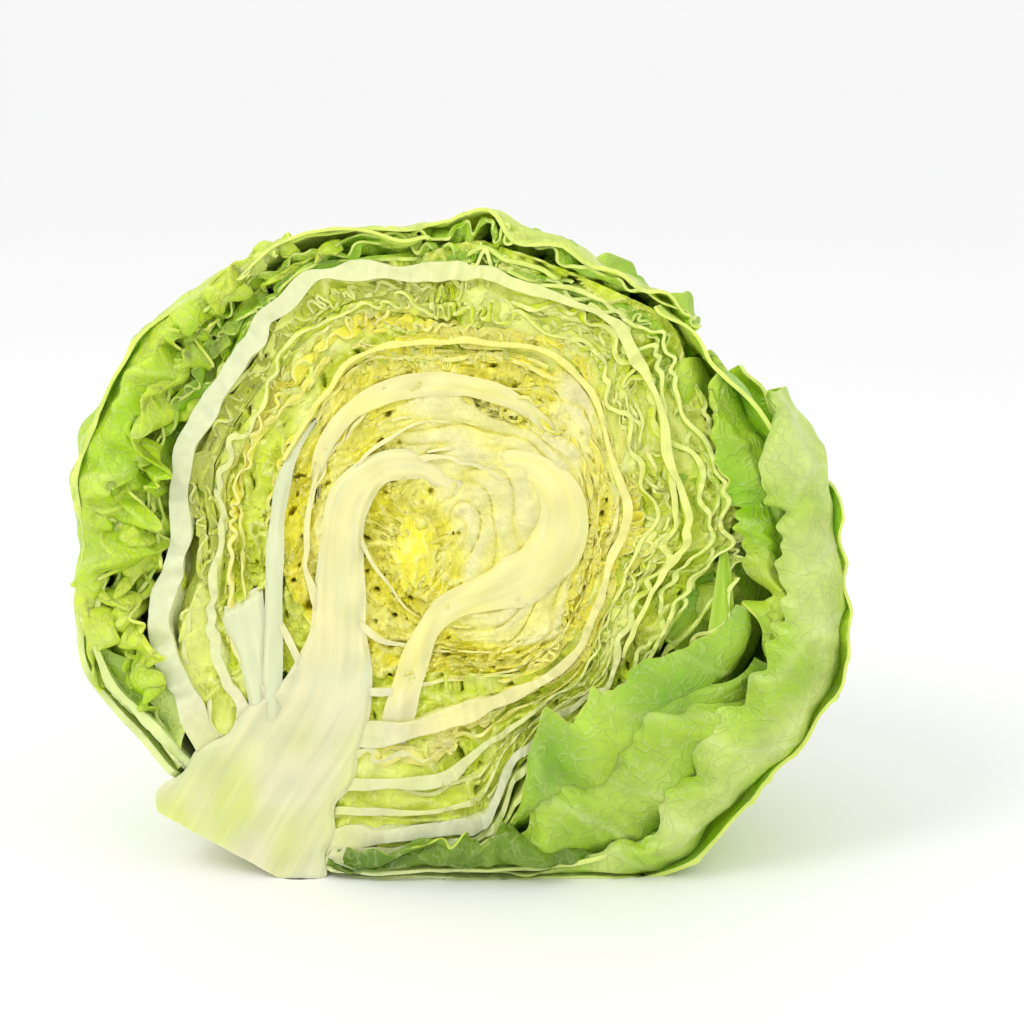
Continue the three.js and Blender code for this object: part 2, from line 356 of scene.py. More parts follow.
def linear(value: int) -> float:
    """One channel as linear light, from its display value of 0 to 255."""
    share = value / 255.0
    return share / 12.92 if share <= 0.04045 else ((share + 0.055) / 1.055) ** 2.4


def srgb(red: int, green: int, blue: int) -> Colour:
    """Linear colour from display values of 0 to 255."""
    return linear(red), linear(green), linear(blue)


def blend(a: Colour | Array, b: Colour | Array, t: Array) -> Array:
    """The colours a share t of the way from a to b, one for each number in t."""
    return lerp(np.asarray(a), np.asarray(b), t[..., None])


@dataclass(frozen=True)
class Palette:
    """The colours that a leaf blends, as linear red, green and blue."""

    blade: Colour
    pale: Colour
    rib: Colour
    edge: Colour


OUTER = Palette(srgb(150, 200, 26), srgb(194, 223, 68), srgb(220, 232, 158), srgb(220, 236, 112))
PALE_OUTER = Palette(srgb(166, 202, 54), srgb(202, 222, 122), srgb(220, 230, 172), srgb(228, 238, 136))
FOLD_OUTER = Palette(srgb(126, 174, 26), srgb(170, 204, 60), srgb(206, 222, 138), srgb(220, 234, 116))
CURL_OUTER = Palette(srgb(170, 210, 20), srgb(206, 228, 66), srgb(222, 232, 146), srgb(228, 238, 108))
DARK_OUTER = Palette(srgb(84, 118, 4), srgb(118, 152, 18), srgb(158, 184, 70), srgb(184, 210, 76))
LOOSE = Palette(srgb(192, 224, 58), srgb(218, 234, 112), srgb(222, 230, 168), srgb(230, 240, 132))
HEAD_PALE = Palette(srgb(206, 224, 36), srgb(224, 234, 92), srgb(223, 227, 184), srgb(232, 238, 132))
HEART = Palette(srgb(244, 236, 56), srgb(244, 238, 118), srgb(236, 230, 158), srgb(240, 236, 130))
CREAM = srgb(227, 223, 184)
STEM_GREEN = srgb(216, 224, 130)
GREY_GREEN = srgb(206, 216, 176)
VEIN = srgb(234, 240, 178)


# ---------------------------------------------------------------- finishes


@dataclass
class Nodes:
    """A node material under construction."""

    name: str
    material: bpy.types.Material = field(init=False)
    tree: bpy.types.NodeTree = field(init=False)
    shader: bpy.types.Node = field(init=False)

    def __post_init__(self) -> None:
        """Makes the empty material."""
        self.material = bpy.data.materials.new(self.name)
        self.material.use_nodes = True
        self.tree = self.material.node_tree
        self.shader = self.tree.nodes["Principled BSDF"]

    def add(self, kind: str, **values: object) -> bpy.types.Node:
        """Adds a node and sets its own settings and inputs.

        Args:
            kind: the node's type.
            values: settings by attribute name, or inputs by their name with spaces as underscores.

        Returns:
            The node.
        """
        node = self.tree.nodes.new(kind)
        for key, value in values.items():
            if hasattr(node, key):
                setattr(node, key, value)
            else:
                node.inputs[key.replace("_", " ")].default_value = value
        return node

    def link(self, start: bpy.types.NodeSocket, end: bpy.types.NodeSocket) -> None:
        """Joins two sockets."""
        self.tree.links.new(start, end)

    def noise(
        self, where: bpy.types.NodeSocket, scale: float, detail: float, low: float, high: float
    ) -> tuple[bpy.types.NodeSocket, bpy.types.NodeSocket]:
        """A noise spread over a range.

        Args:
            where: the coordinates.
            scale: cells per metre.
            detail: octaves.
            low: the value in its dark parts.
            high: the value in its light parts.

        Returns:
            The spread value's socket and the raw noise's socket.
        """
        noise = self.add("ShaderNodeTexNoise", Scale=scale, Detail=detail)
        self.link(where, noise.inputs["Vector"])
        spread = self.add("ShaderNodeMapRange", From_Min=0.3, From_Max=0.7, To_Min=low, To_Max=high)
        self.link(noise.outputs["Fac"], spread.inputs["Value"])
        return spread.outputs["Result"], noise.outputs["Fac"]

    def bump(self, height: bpy.types.NodeSocket, strength: float, distance: float) -> None:
        """Raises the surface by a height.

        Args:
            height: the height's socket.
            strength: how much of it shows.
            distance: how far in metres a height of 1 is.
        """
        bump = self.add("ShaderNodeBump", Strength=strength, Distance=distance)
        self.link(height, bump.inputs["Height"])
        self.link(bump.outputs["Normal"], self.shader.inputs["Normal"])

    def soft(self, roughness: float, weight: float, radius: Colour, scale: float) -> None:
        """Sets how rough and how translucent the tissue is.

        Args:
            roughness: of its surface.
            weight: how much light goes into it.
            radius: how far red, green and blue light goes, as shares of scale.
            scale: in metres.
        """
        self.shader.inputs["Roughness"].default_value = roughness
        self.shader.inputs["Subsurface Weight"].default_value = weight
        self.shader.inputs["Subsurface Radius"].default_value = radius
        self.shader.inputs["Subsurface Scale"].default_value = scale


@dataclass(frozen=True)
class LeafSkin:
    """The waxy skin of a leaf: its own colour attribute, broken by blisters and a fine vein net."""

    name: str
    roughness: float
    net: float
    blister: float
    depth: float
    glow: float

    def build(self) -> bpy.types.Material:
        """Makes the node material."""
        n = Nodes(self.name)
        where = n.add("ShaderNodeTexCoord").outputs["Object"]
        tint = n.add("ShaderNodeAttribute", attribute_name="tint").outputs["Color"]
        warp = n.add("ShaderNodeTexNoise", Scale=self.net * 0.5, Detail=2.0)
        n.link(where, warp.inputs["Vector"])
        bend = n.add("ShaderNodeMixRGB", blend_type="LINEAR_LIGHT")
        bend.inputs[0].default_value = 0.012
        n.link(where, bend.inputs[1])
        n.link(warp.outputs["Color"], bend.inputs[2])
        net = n.add("ShaderNodeTexVoronoi", feature="DISTANCE_TO_EDGE", Scale=self.net)
        n.link(bend.outputs[0], net.inputs["Vector"])
        vein = n.add("ShaderNodeMapRange", From_Max=0.10, To_Min=1.0, To_Max=0.0)
        n.link(net.outputs["Distance"], vein.inputs["Value"])
        shade, blister = n.noise(where, self.blister, 4.0, 0.84, 1.14)
        varied = n.add("ShaderNodeMixRGB", blend_type="MULTIPLY")
        varied.inputs[0].default_value = 1.0
        n.link(tint, varied.inputs[1])
        n.link(shade, varied.inputs[2])
        veined = n.add("ShaderNodeMixRGB")
        veined.inputs[2].default_value = (*VEIN, 1.0)
        share = n.add("ShaderNodeMath", operation="MULTIPLY")
        share.inputs[1].default_value = 0.17
        n.link(vein.outputs["Result"], share.inputs[0])
        n.link(share.outputs[0], veined.inputs[0])
        n.link(varied.outputs[0], veined.inputs[1])
        n.link(veined.outputs[0], n.shader.inputs["Base Color"])
        height = n.add("ShaderNodeMath", operation="MULTIPLY_ADD")
        height.inputs[1].default_value = 0.35
        n.link(vein.outputs["Result"], height.inputs[0])
        n.link(blister, height.inputs[2])
        n.bump(height.outputs[0], 0.5, self.depth)
        n.soft(self.roughness, self.glow, (1.0, 1.0, 0.45), 0.0025)
        return n.material


@dataclass(frozen=True)
class CutFlesh:
    """Freshly cut flesh: moist and pale, with fine threads that follow the stalk it belongs to."""

    name: str
    grain: float
    threaded: bool = False

    def build(self) -> bpy.types.Material:
        """Makes the node material."""
        n = Nodes(self.name)
        where = n.add("ShaderNodeTexCoord").outputs["Object"]
        along = n.add("ShaderNodeMapping", Scale=(1.0, 1.0, 0.08 if self.threaded else 1.0))
        laid = where
        if self.threaded:
            laid = n.add("ShaderNodeAttribute", attribute_name="grain").outputs["Vector"]
        n.link(laid, along.inputs["Vector"])
        flesh = n.add("ShaderNodeAttribute", attribute_name="flesh").outputs["Color"]
        shade, thread = n.noise(along.outputs["Vector"], self.grain, 4.0, 0.93, 1.05)
        patch, _ = n.noise(where, 60.0, 2.0, 0.95, 1.04)
        both = n.add("ShaderNodeMath", operation="MULTIPLY")
        n.link(shade, both.inputs[0])
        n.link(patch, both.inputs[1])
        varied = n.add("ShaderNodeMixRGB", blend_type="MULTIPLY")
        varied.inputs[0].default_value = 1.0
        n.link(flesh, varied.inputs[1])
        n.link(both.outputs[0], varied.inputs[2])
        n.link(varied.outputs[0], n.shader.inputs["Base Color"])
        n.bump(thread, 0.35, 0.0005)
        n.soft(0.40, 0.4, (1.0, 0.95, 0.6), 0.0025)
        return n.material


@dataclass
class Finishes:
    """All the finishes of the head, made once."""

    skin: bpy.types.Material = field(
        default_factory=lambda: LeafSkin("leaf_skin", 0.40, 210.0, 120.0, 0.0016, 0.5).build()
    )
    heart_skin: bpy.types.Material = field(
        default_factory=lambda: LeafSkin("heart_leaf_skin", 0.42, 320.0, 220.0, 0.0006, 0.2).build()
    )
    flesh: bpy.types.Material = field(default_factory=lambda: CutFlesh("cut_flesh", 420.0).build())
    core: bpy.types.Material = field(
        default_factory=lambda: CutFlesh("core_flesh", 520.0, threaded=True).build()
    )


# ---------------------------------------------------------------- sheets


@dataclass
class Sheet:
    """A grid of points to be shaped into one leaf, in rows along by columns across."""

    name: str
    along: int
    across: int
    mesh: bpy.types.Mesh = field(init=False)
    order: Array = field(init=False)

    def __post_init__(self) -> None:
        """Makes the flat grid."""
        bm = bmesh.new()
        bmesh.ops.create_grid(bm, x_segments=self.along, y_segments=self.across, size=1.0)
        self.mesh = bpy.data.meshes.new(self.name)
        bm.to_mesh(self.mesh)
        bm.free()
        flat = get_points(self.mesh)
        rank = np.lexsort((np.round(flat[:, 1], 5), np.round(flat[:, 0], 5)))
        self.order = rank.reshape(self.along + 1, self.across + 1)

    def listed(self, values: Array) -> Array:
        """Puts values on the grid in the order of the mesh's vertices.

        Args:
            values: in rows along the grid.

        Returns:
            A row for each vertex.
        """
        out = np.empty((self.order.size, *values.shape[2:]))
        out[self.order.ravel()] = values.reshape(-1, *values.shape[2:])
        return out

    def place(self, points: Array) -> None:
        """Moves the grid's vertices to their points."""
        set_points(self.mesh, self.listed(points))

    def store(self, name: str, values: Array) -> None:
        """Stores a number or a colour for each vertex of the grid."""
        add_values(self.mesh, name, self.listed(values))


def set_points(mesh: bpy.types.Mesh, points: Array) -> None:
    """Writes all the vertex places of a mesh."""
    mesh.vertices.foreach_set("co", np.ascontiguousarray(points, np.float32).ravel())
    mesh.update()


def get_points(mesh: bpy.types.Mesh) -> Array:
    """Reads all the vertex places of a mesh.

    Args:
        mesh: the mesh.

    Returns:
        A row of three for each vertex.
    """
    flat = np.empty(len(mesh.vertices) * 3, np.float32)
    mesh.vertices.foreach_get("co", flat)
    return flat.reshape(-1, 3).astype(float)


def add_values(mesh: bpy.types.Mesh, name: str, values: Array) -> None:
    """Stores a number or a colour for each vertex.

    Args:
        mesh: what it is stored on.
        name: the attribute's name.
        values: a row for each vertex; three numbers are a colour.
    """
    if values.ndim == 2:
        layer = mesh.attributes.new(name, "FLOAT_COLOR", "POINT")
        filled = np.ones((len(values), 4), np.float32)
        filled[:, :3] = values
        layer.data.foreach_set("color", filled.ravel())
    else:
        layer = mesh.attributes.new(name, "FLOAT", "POINT")
        layer.data.foreach_set("value", values.astype(np.float32))


def get_values(mesh: bpy.types.Mesh, name: str) -> Array:
    """Reads the number stored for each vertex.

    Args:
        mesh: what it is stored on.
        name: the attribute's name.

    Returns:
        The numbers.
    """
    values = np.empty(len(mesh.vertices), np.float32)
    mesh.attributes[name].data.foreach_get("value", values)
    return values


def thicken(
    name: str, sheet: bpy.types.Mesh, thickness: Array, finishes: list[bpy.types.Material]
) -> bpy.types.Object:
    """Gives a sheet its thickness and its rim.

    Args:
        name: the piece's name.
        sheet: the middle surface, in mm.
        thickness: its thickness in mm at each vertex.
        finishes: the skin, then the rim's flesh.

    Returns:
        The object, with a new mesh.
    """
    most = float(thickness.max())
    raw = bpy.data.objects.new(name, sheet)
    bpy.context.scene.collection.objects.link(raw)
    group = raw.vertex_groups.new(name="thickness")
    shares = np.round(thickness / most, 2)
    for share in np.unique(shares):
        group.add([int(v) for v in np.nonzero(shares == share)[0]], float(share), "REPLACE")
    for finish in finishes:
        sheet.materials.append(finish)
    solid = raw.modifiers.new("thickness", "SOLIDIFY")
    solid.thickness = most
    solid.offset = 0.0
    solid.vertex_group = "thickness"
    solid.use_rim = True
    solid.material_offset_rim = 1
    graph = bpy.context.evaluated_depsgraph_get()
    made = bpy.data.meshes.new_from_object(raw.evaluated_get(graph))
    made.name = name
    raw.modifiers.clear()
    raw.vertex_groups.clear()
    raw.data = made
    bpy.data.meshes.remove(sheet)
    return raw


def finish_piece(piece: bpy.types.Object, node: str) -> None:
    """Smooths a piece's shading, keeps its cut edge crisp, and rides it on the head.

    Args:
        piece: the finished piece.
        node: the CAD node it stands for, which is hidden.
    """
    mesh = piece.data
    mesh.polygons.foreach_set("use_smooth", np.ones(len(mesh.polygons), bool))
    mesh.set_sharp_from_angle(angle=math.radians(48.0))
    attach(piece, "root")
    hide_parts(node)
    log.info("%s: %d faces", piece.name, len(mesh.polygons))


def tuck_into_core(points: Array, on_cut: Array) -> Array:
    """Sinks the part of a cut edge that runs inside the core behind the core's own face.

    Args:
        points: (across, back, up) in mm.
        on_cut: which of them lie on the cut.

    Returns:
        The points.
    """
    moved = points.copy()
    gap = HEAD.cut_gap(points)
    level = lerp(np.full_like(gap, -0.6), moved[:, 1], smoothstep(gap, 0.0, 9.0))
    moved[:, 1] = np.where(on_cut, level, moved[:, 1])
    sunk = 4.0 * smoothstep(-gap, 0.0, 7.0)
    moved[:, 1] = np.where(sunk > 0.01, np.maximum(moved[:, 1], sunk - 0.6), moved[:, 1])
    return moved


def core_tint(points: Array) -> Array:
    """Works out the colour of the core's flesh.

    Args:
        points: (across, back, up) in mm.

    Returns:
        A colour for each point.
    """
    low = smoothstep(-points[..., 2], 34.0, 66.0)
    patch = np.clip(0.45 + 0.7 * Swell(7, 17.0)(points), 0.0, 1.0)
    high = smoothstep(points[..., 2], -48.0, -8.0)
    return blend(blend(CREAM, HEART.rib, 0.8 * high), STEM_GREEN, patch * low)


@dataclass(frozen=True)
class Ruffle:
    """How a leaf is crinkled.

    pitch is the length of a fold in mm, turn the steepest it stands in radians at the rib and at the
    tip, drift how far in mm the folds wander behind the cut, and room how much of its height it keeps.
    hollow is how far in mm the blade bellies behind the cut, and sway how much it strays from its level.
    """

    pitch: float
    turn_rib: float
    turn_tip: float
    drift: float = 14.0
    room: float = 1.0
    hollow: float = 2.4
    sway: float = 1.0


@dataclass(frozen=True)
class PackedLeaf:
    """One leaf packed in the head, cut along one edge of its sheet.

    level is where it lies between the head's outlines, tip the angle in degrees at which it ends, and rib
    and edge how thick in mm it is at its rib and in its blade. proud is how far in mm it stands before the
    cut, rib_reach how much of its length the rib takes, and start how much of it is missing at the foot.
    node is the CAD leaf it stands for where that has another name. depth_end is how far it goes back in
    degrees, step the size of its squares in mm, and rows how many there are from the cut to its back.
    flare is how much further out in mm it leaves the core, and flare_reach how soon it comes in.
    """

    name: str
    level: float
    side: Side
    tip: float
    rib: float
    edge: float
    ruffle: Ruffle
    palette: Palette
    seed: int
    proud: float = 0.0
    rib_reach: float = 0.5
    start: float = 0.0
    node: str = ""
    depth_end: float = 78.0
    step: float = 0.5
    rows: int = 20
    flare: float = 13.0
    flare_reach: float = 36.0

    def root(self) -> float:
        """The angle at which the leaf leaves the core's middle line, in degrees."""
        radius = float(HEAD.radius(self.level, np.array(HEAD.stem_end), np.array(0.0))) + self.flare
        return HEAD.core_angle(radius) - (360.0 if self.side is Side.RIGHT else 0.0)

    def sheet_points(self, along: int, length: float) -> tuple[Array, Array, Array]:
        """Works out the middle surface.

        Args:
            along: squares along the cut.
            length: the leaf's length in the cut in mm.

        Returns:
            The points in mm, the share of the way to the tip, and the distance in mm behind the cut.
        """
        root = self.root()
        share = np.linspace(self.start, 1.0, along + 1)[:, None]
        deep = np.linspace(0.0, 1.0, self.rows + 1)[None, :] ** 1.9
        depth = self.depth_end * deep
        angle = lerp(root, self.tip, share) + 0.0 * depth
        behind = HEAD.radius(self.level, angle, depth) * np.radians(depth)
        arc = share * length
        place = np.stack(
            [arc + 0.0 * behind, behind + 0.0 * arc, np.full_like(behind, 7.0 * self.seed)], axis=-1
        )
        steps = length * (1.0 - self.start) / along
        ahead, off = self.walk(place, share, steps)
        ahead -= ahead[:1]
        scale = length * (1.0 - self.start) / np.maximum(ahead[-1:], 1e-6)
        off = off * np.minimum(scale, 1.6)
        off = (off - self.trend(off, steps)) * self.ruffle.room
        angle = lerp(root, self.tip, self.start + ahead * scale / length) + 0.0 * depth
        off = self.stray(off, place, share, behind)
        surface = HEAD.radius(self.level, angle, depth) + off + self.flare * np.exp(-arc / self.flare_reach)
        return HEAD.point(surface, angle, depth), share + 0.0 * depth, behind

    def walk(self, place: Array, share: Array, steps: float) -> tuple[Array, Array]:
        """Walks up the leaf with even steps that turn from side to side.

        Args:
            place: the way along the leaf, the way behind the cut and the seed, for each point.
            share: the share of the way to the tip.
            steps: the length of a step in mm.

        Returns:
            How far each point is ahead of the foot and off the leaf's level, in mm.
        """
        arc, behind = place[..., 0], place[..., 1]
        coarse = Swell(self.seed + 50, 30.0)
        turn = lerp(self.ruffle.turn_rib, self.ruffle.turn_tip, smoothstep(share, 0.12, 0.7))
        turn = turn * (0.75 + 0.5 * coarse(place)) * (1.0 - 0.35 * smoothstep(behind, 10.0, 60.0))
        turn = np.clip(turn, 0.0, 1.9)
        wander = Swell(self.seed, self.ruffle.drift)
        phase = 2.0 * math.pi * arc / self.ruffle.pitch
        phase = phase + 2.6 * wander(place) + 2.2 * coarse(place * 1.7 + 31.0)
        small = Swell(self.seed + 90, self.ruffle.pitch * 0.5)
        heading = turn * np.sin(phase) + 0.5 * turn * small(place)
        return np.cumsum(np.cos(heading), axis=0) * steps, np.cumsum(np.sin(heading), axis=0) * steps

    def stray(self, off: Array, place: Array, share: Array, behind: Array) -> Array:
        """Lets the leaf sway from its level, and bulge and sink behind its cut edge.

        Args:
            off: the offset of its folds in mm.
            place: the way along the leaf, the way behind the cut and the seed, for each point.
            share: the share of the way to the tip.
            behind: the distance in mm behind the cut.

        Returns:
            The whole offset in mm.
        """
        sway = 1.9 * Swell(self.seed + 20, 26.0)(place) + 0.7 * Swell(self.seed + 21, 10.0)(place)
        hollow = self.ruffle.hollow * Swell(self.seed + 70, 10.0)(place) * smoothstep(behind, 0.3, 7.0)
        belly = 1.8 * Swell(self.seed + 75, 24.0)(place) * smoothstep(behind, 0.0, 9.0)
        return off + self.ruffle.sway * smoothstep(share, 0.02, 0.2) * sway + hollow + belly

    def trend(self, off: Array, steps: float) -> Array:
        """Finds the slow drift of the offsets, which is taken out so that the leaf keeps its level.

        Args:
            off: the offsets in mm, in rows along the leaf.
            steps: the length of a step in mm.

        Returns:
            The drift in mm.
        """
        width = max(3, int(2.2 * self.ruffle.pitch / steps))
        kernel = np.hanning(width + 2)
        kernel /= kernel.sum()
        padded = np.pad(off, ((width, width), (0, 0)), mode="edge")
        rows = [np.convolve(padded[:, k], kernel, mode="same")[width:-width] for k in range(off.shape[1])]
        return np.stack(rows, axis=1)

    def build(self, finishes: Finishes) -> bpy.types.Object:
        """Makes the finished leaf.

        Args:
            finishes: the materials.

        Returns:
            The piece.
        """
        radius = float(HEAD.radius(self.level, np.array(HEAD.stem_end), np.array(0.0)))
        length = math.radians(abs(self.tip - self.root())) * radius
        along = int(length * (1.0 - self.start) / self.step)
        sheet = Sheet(self.name, along, self.rows)
        points, share, behind = self.sheet_points(along, length)
        sheet.place(points)
        near_cut = 1.0 - smoothstep(behind, 3.0, 14.0)
        ribness = (1.0 - smoothstep(share, 0.0, self.rib_reach)) * near_cut
        base = 1.0 - smoothstep(share, 0.0, 0.3)
        foot = 1.0 - smoothstep(share, 0.0, 0.12)
        thick = lerp(self.edge, self.rib, np.maximum(ribness, 0.45 * base)) + 1.6 * foot * near_cut
        thick = thick * (0.9 + 0.2 * Swell(self.seed + 8, 9.0)(points))
        pale = np.clip(np.maximum(ribness * self.rib / 5.0, 0.45 * base), 0.0, 1.0)
        self.colour(sheet, points, behind, pale)
        cut = np.zeros_like(share)
        cut[:, 0] = 1.0
        sheet.store("cut", cut)
        skin = finishes.heart_skin if self.level <= HEART_LEVEL else finishes.skin
        piece = thicken(self.name + "_sheet", sheet.mesh, sheet.listed(thick), [skin, finishes.flesh])
        moved = get_points(piece.data)
        on_cut = get_values(piece.data, "cut") > 0.5
        relief = 0.5 * Swell(self.seed + 33, 7.0)(moved) + 0.3 * Swell(self.seed + 34, 2.6)(moved)
        moved[:, 1] = np.where(on_cut, relief - self.proud, np.maximum(moved[:, 1], 0.15 - self.proud))
        moved = tuck_into_core(squeeze(moved), on_cut)
        set_points(piece.data, HEAD.stand(organic(moved)))
        finish_piece(piece, self.node or self.name)
        return piece

    def colour(self, sheet: Sheet, points: Array, behind: Array, ribness: Array) -> None:
        """Stores the colours of the leaf's skin, with painted shade deeper behind the cut, and of its cut
        flesh.

        Args:
            sheet: the leaf's grid.
            points: its points in mm.
            behind: their distance in mm behind the cut.
            ribness: 0 in the blade to 1 in the rib.
        """
        patch = np.clip(0.5 + 0.6 * Swell(self.seed + 5, 18.0)(points), 0.0, 1.0)
        skin = blend(self.palette.blade, self.palette.pale, patch * 0.85)
        skin = blend(skin, self.palette.rib, ribness * 0.9)
        flesh = blend(self.palette.edge, self.palette.rib, np.clip(ribness * 1.3, 0.0, 1.0))
        flesh = blend(flesh, core_tint(points), 1.0 - smoothstep(HEAD.cut_gap(points), 2.0, 16.0))
        # Painted shade: the skin is darkened to 85% the further it lies behind the cut, deep in the head.
        sheet.store("tint", blend(skin, skin * 0.85, smoothstep(behind, 6.0, 30.0)))
        sheet.store("flesh", flesh)


@dataclass(frozen=True)
class WrapperLeaf:
    """One broad outer leaf, spread over the outside of the head and then cut with it.

    It grows from the foot of the core. heading is where its midrib goes, in degrees from the left round
    the back to the right, start and reach where it begins and ends along it, and half its half width,
    all in degrees. frill is how far in mm its margin waves, over frill_pitch mm. along and across are its
    numbers of squares, and proud is how far in mm it stands before the cut.
    """

    name: str
    level: float
    heading: float
    reach: float
    half: float
    seed: int
    palette: Palette
    frill: float = 2.6
    frill_pitch: float = 15.0
    start: float = 12.0
    along: int = 170
    across: int = 150
    proud: float = 0.0

    def directions(self, along: Array, across: Array) -> Array:
        """Unit directions of the leaf's points.

        Args:
            along: 0 at the foot to 1 at the tip.
            across: -1 at one margin to 1 at the other.

        Returns:
            Unit vectors (across, back, up).
        """
        stem = math.radians(HEAD.stem_end)
        root = np.array([math.cos(stem), 0.0, math.sin(stem)])
        left = np.array([math.cos(stem - math.pi / 2), 0.0, math.sin(stem - math.pi / 2)])
        turn = math.radians(self.heading)
        midrib = left * math.cos(turn) + np.array([0.0, math.sin(turn), 0.0])
        sideways = np.cross(root, midrib)
        width = lerp(0.42, 1.0, np.sin(np.pi * np.minimum(along, 0.62)) ** 0.8)
        wide = 1.0 + along * (0.035 * np.sin(13.0 * along + self.seed) + 0.02 * np.sin(31.0 * along))
        spread = np.radians(self.half * width * wide * across)[..., None]
        tall = 1.0 - 0.18 * across**2 + 0.05 * np.sin(6.0 * across + self.seed)
        tall = tall + 0.025 * np.sin(15.0 * across)
        climb = np.radians(self.start + (self.reach - self.start) * along * tall)[..., None]
        return np.cos(spread) * (np.cos(climb) * root + np.sin(climb) * midrib) + np.sin(spread) * sideways

    def build(self, finishes: Finishes) -> bpy.types.Object:
        """Makes the finished leaf.

        Args:
            finishes: the materials.

        Returns:
            The piece.
        """
        sheet = Sheet(self.name, self.along, self.across)
        along = np.linspace(0.0, 1.0, self.along + 1)[:, None] + np.zeros((1, self.across + 1))
        across = np.linspace(-1.0, 1.0, self.across + 1)[None, :] + np.zeros((self.along + 1, 1))
        vein = self.veins(along, across)
        points = self.spread(along, across, vein)
        sheet.place(points)
        base = 1.0 - smoothstep(along, 0.0, 0.42)
        self.colour(sheet, points, vein, base)
        sheet.store("thick", lerp(0.9, 1.6, base) + 1.6 * vein * (1.0 - 0.7 * along))
        self.halve(sheet.mesh)
        thick = get_values(sheet.mesh, "thick")
        piece = thicken(self.name + "_sheet", sheet.mesh, thick, [finishes.skin, finishes.flesh])
        moved = get_points(piece.data)
        on_cut = get_values(piece.data, "cut") > 0.5
        relief = 0.5 * Swell(self.seed + 33, 7.0)(moved)
        moved[:, 1] = np.where(on_cut, relief - self.proud, moved[:, 1])
        moved = tuck_into_core(moved, on_cut)
        set_points(piece.data, HEAD.stand(organic(moved)))
        finish_piece(piece, self.name)
        return piece

    def spread(self, along: Array, across: Array, vein: Array) -> Array:
        """Lays the leaf round the head, with its lumps and the frill of its margin.

        Args:
            along: 0 at the foot to 1 at the tip.
            across: -1 at one margin to 1 at the other.
            vein: 0 in the blade to 1 on the midrib.

        Returns:
            The points (across, back, up) in mm.
        """
        way = self.directions(along, across)
        _, angle, depth = HEAD.direction(way)
        radius = HEAD.radius(self.level, angle, np.abs(depth))
        place = way * radius[..., None]
        margin = np.maximum(smoothstep(np.abs(across), 0.78, 1.0), smoothstep(along, 0.84, 1.0))
        resting = smoothstep(-place[..., 2], 35.0, 70.0)
        frill = Swell(self.seed, self.frill_pitch)(place) * self.frill * margin
        crumple = 1.6 * Swell(self.seed + 1, 34.0)(place)
        crumple += 1.0 * Swell(self.seed + 2, 12.0)(place) * smoothstep(along, 0.1, 0.5)
        crumple -= 0.9 * np.abs(Swell(self.seed + 3, 16.0)(place)) * smoothstep(along, 0.05, 0.4)
        off = (frill + crumple) * (1.0 - 0.85 * resting) * smoothstep(along, 0.0, 0.15) + 0.9 * vein
        return way * (radius + off)[..., None]

    def halve(self, mesh: bpy.types.Mesh) -> None:
        """Cuts the leaf with the head and marks the vertices on the cut.

        Args:
            mesh: the leaf's sheet, in mm.
        """
        bm = bmesh.new()
        bm.from_mesh(mesh)
        bmesh.ops.bisect_plane(
            bm,
            geom=bm.verts[:] + bm.edges[:] + bm.faces[:],
            dist=1e-5,
            plane_co=(0.0, -self.proud, 0.0),
            plane_no=(0.0, -1.0, 0.0),
            clear_outer=True,
        )
        bm.to_mesh(mesh)
        bm.free()
        add_values(mesh, "cut", (np.abs(get_points(mesh)[:, 1] + self.proud) < 1e-3).astype(float))

    def veins(self, along: Array, across: Array) -> Array:
        """How much of a vein each point is.

        Args:
            along: 0 at the foot to 1 at the tip.
            across: -1 at one margin to 1 at the other.

        Returns:
            0 in the blade to 1 on the midrib.
        """
        wave = 0.02 * np.sin(9.0 * along + self.seed) + 0.012 * np.sin(23.0 * along + 2.0 * self.seed)
        vein = np.zeros_like(along)
        for number in range(-5, 6):
            at = (number * 0.2 + 0.03 * math.sin(5.0 * number + self.seed)) * (0.28 + 0.82 * along)
            width = (0.030 if number == 0 else 0.014) * (1.3 - 0.8 * along)
            strength = 1.0 if number == 0 else 0.7
            line = np.exp(-(((across - at - wave * (1 + abs(number))) / width) ** 2))
            vein = np.maximum(vein, strength * line * (1.0 - 0.5 * along))
        slant = 8.0 * along - 5.0 * np.abs(across) + 12.0 * wave + 0.3 * np.sin(19.0 * across + self.seed)
        side = np.exp(-((np.sin(np.pi * slant) / 0.17) ** 2)) * smoothstep(np.abs(across), 0.02, 0.2)
        return np.maximum(vein, 0.34 * side * smoothstep(along, 0.15, 0.4) * (1.0 - 0.6 * along))

    def colour(self, sheet: Sheet, points: Array, vein: Array, base: Array) -> None:
        """Stores the colours of the leaf's skin, with painted light on its top near the cut, and of its cut
        flesh.

        Args:
            sheet: the leaf's grid.
            points: its points in mm.
            vein: 0 in the blade to 1 on the midrib.
            base: 1 at the foot to 0 in the blade.
        """
        patch = np.clip(0.5 + 0.55 * Swell(self.seed + 5, 26.0)(points), 0.0, 1.0)
        skin = blend(self.palette.pale, self.palette.blade, patch)
        # Painted light: points high up and near the cut are blended towards a pale lime, standing in for
        # light on top leaves that lie in shade.
        lit = smoothstep(points[..., 2], 36.0, 66.0) * (1.0 - smoothstep(points[..., 1], 4.0, 20.0))
        skin = blend(skin, LOOSE.pale, 0.75 * lit)
        skin = blend(skin, self.palette.rib, np.clip(0.95 * vein + 0.9 * base**1.5, 0.0, 1.0))
        sheet.store("tint", skin)
        sheet.store("flesh", blend(self.palette.edge, self.palette.rib, base))


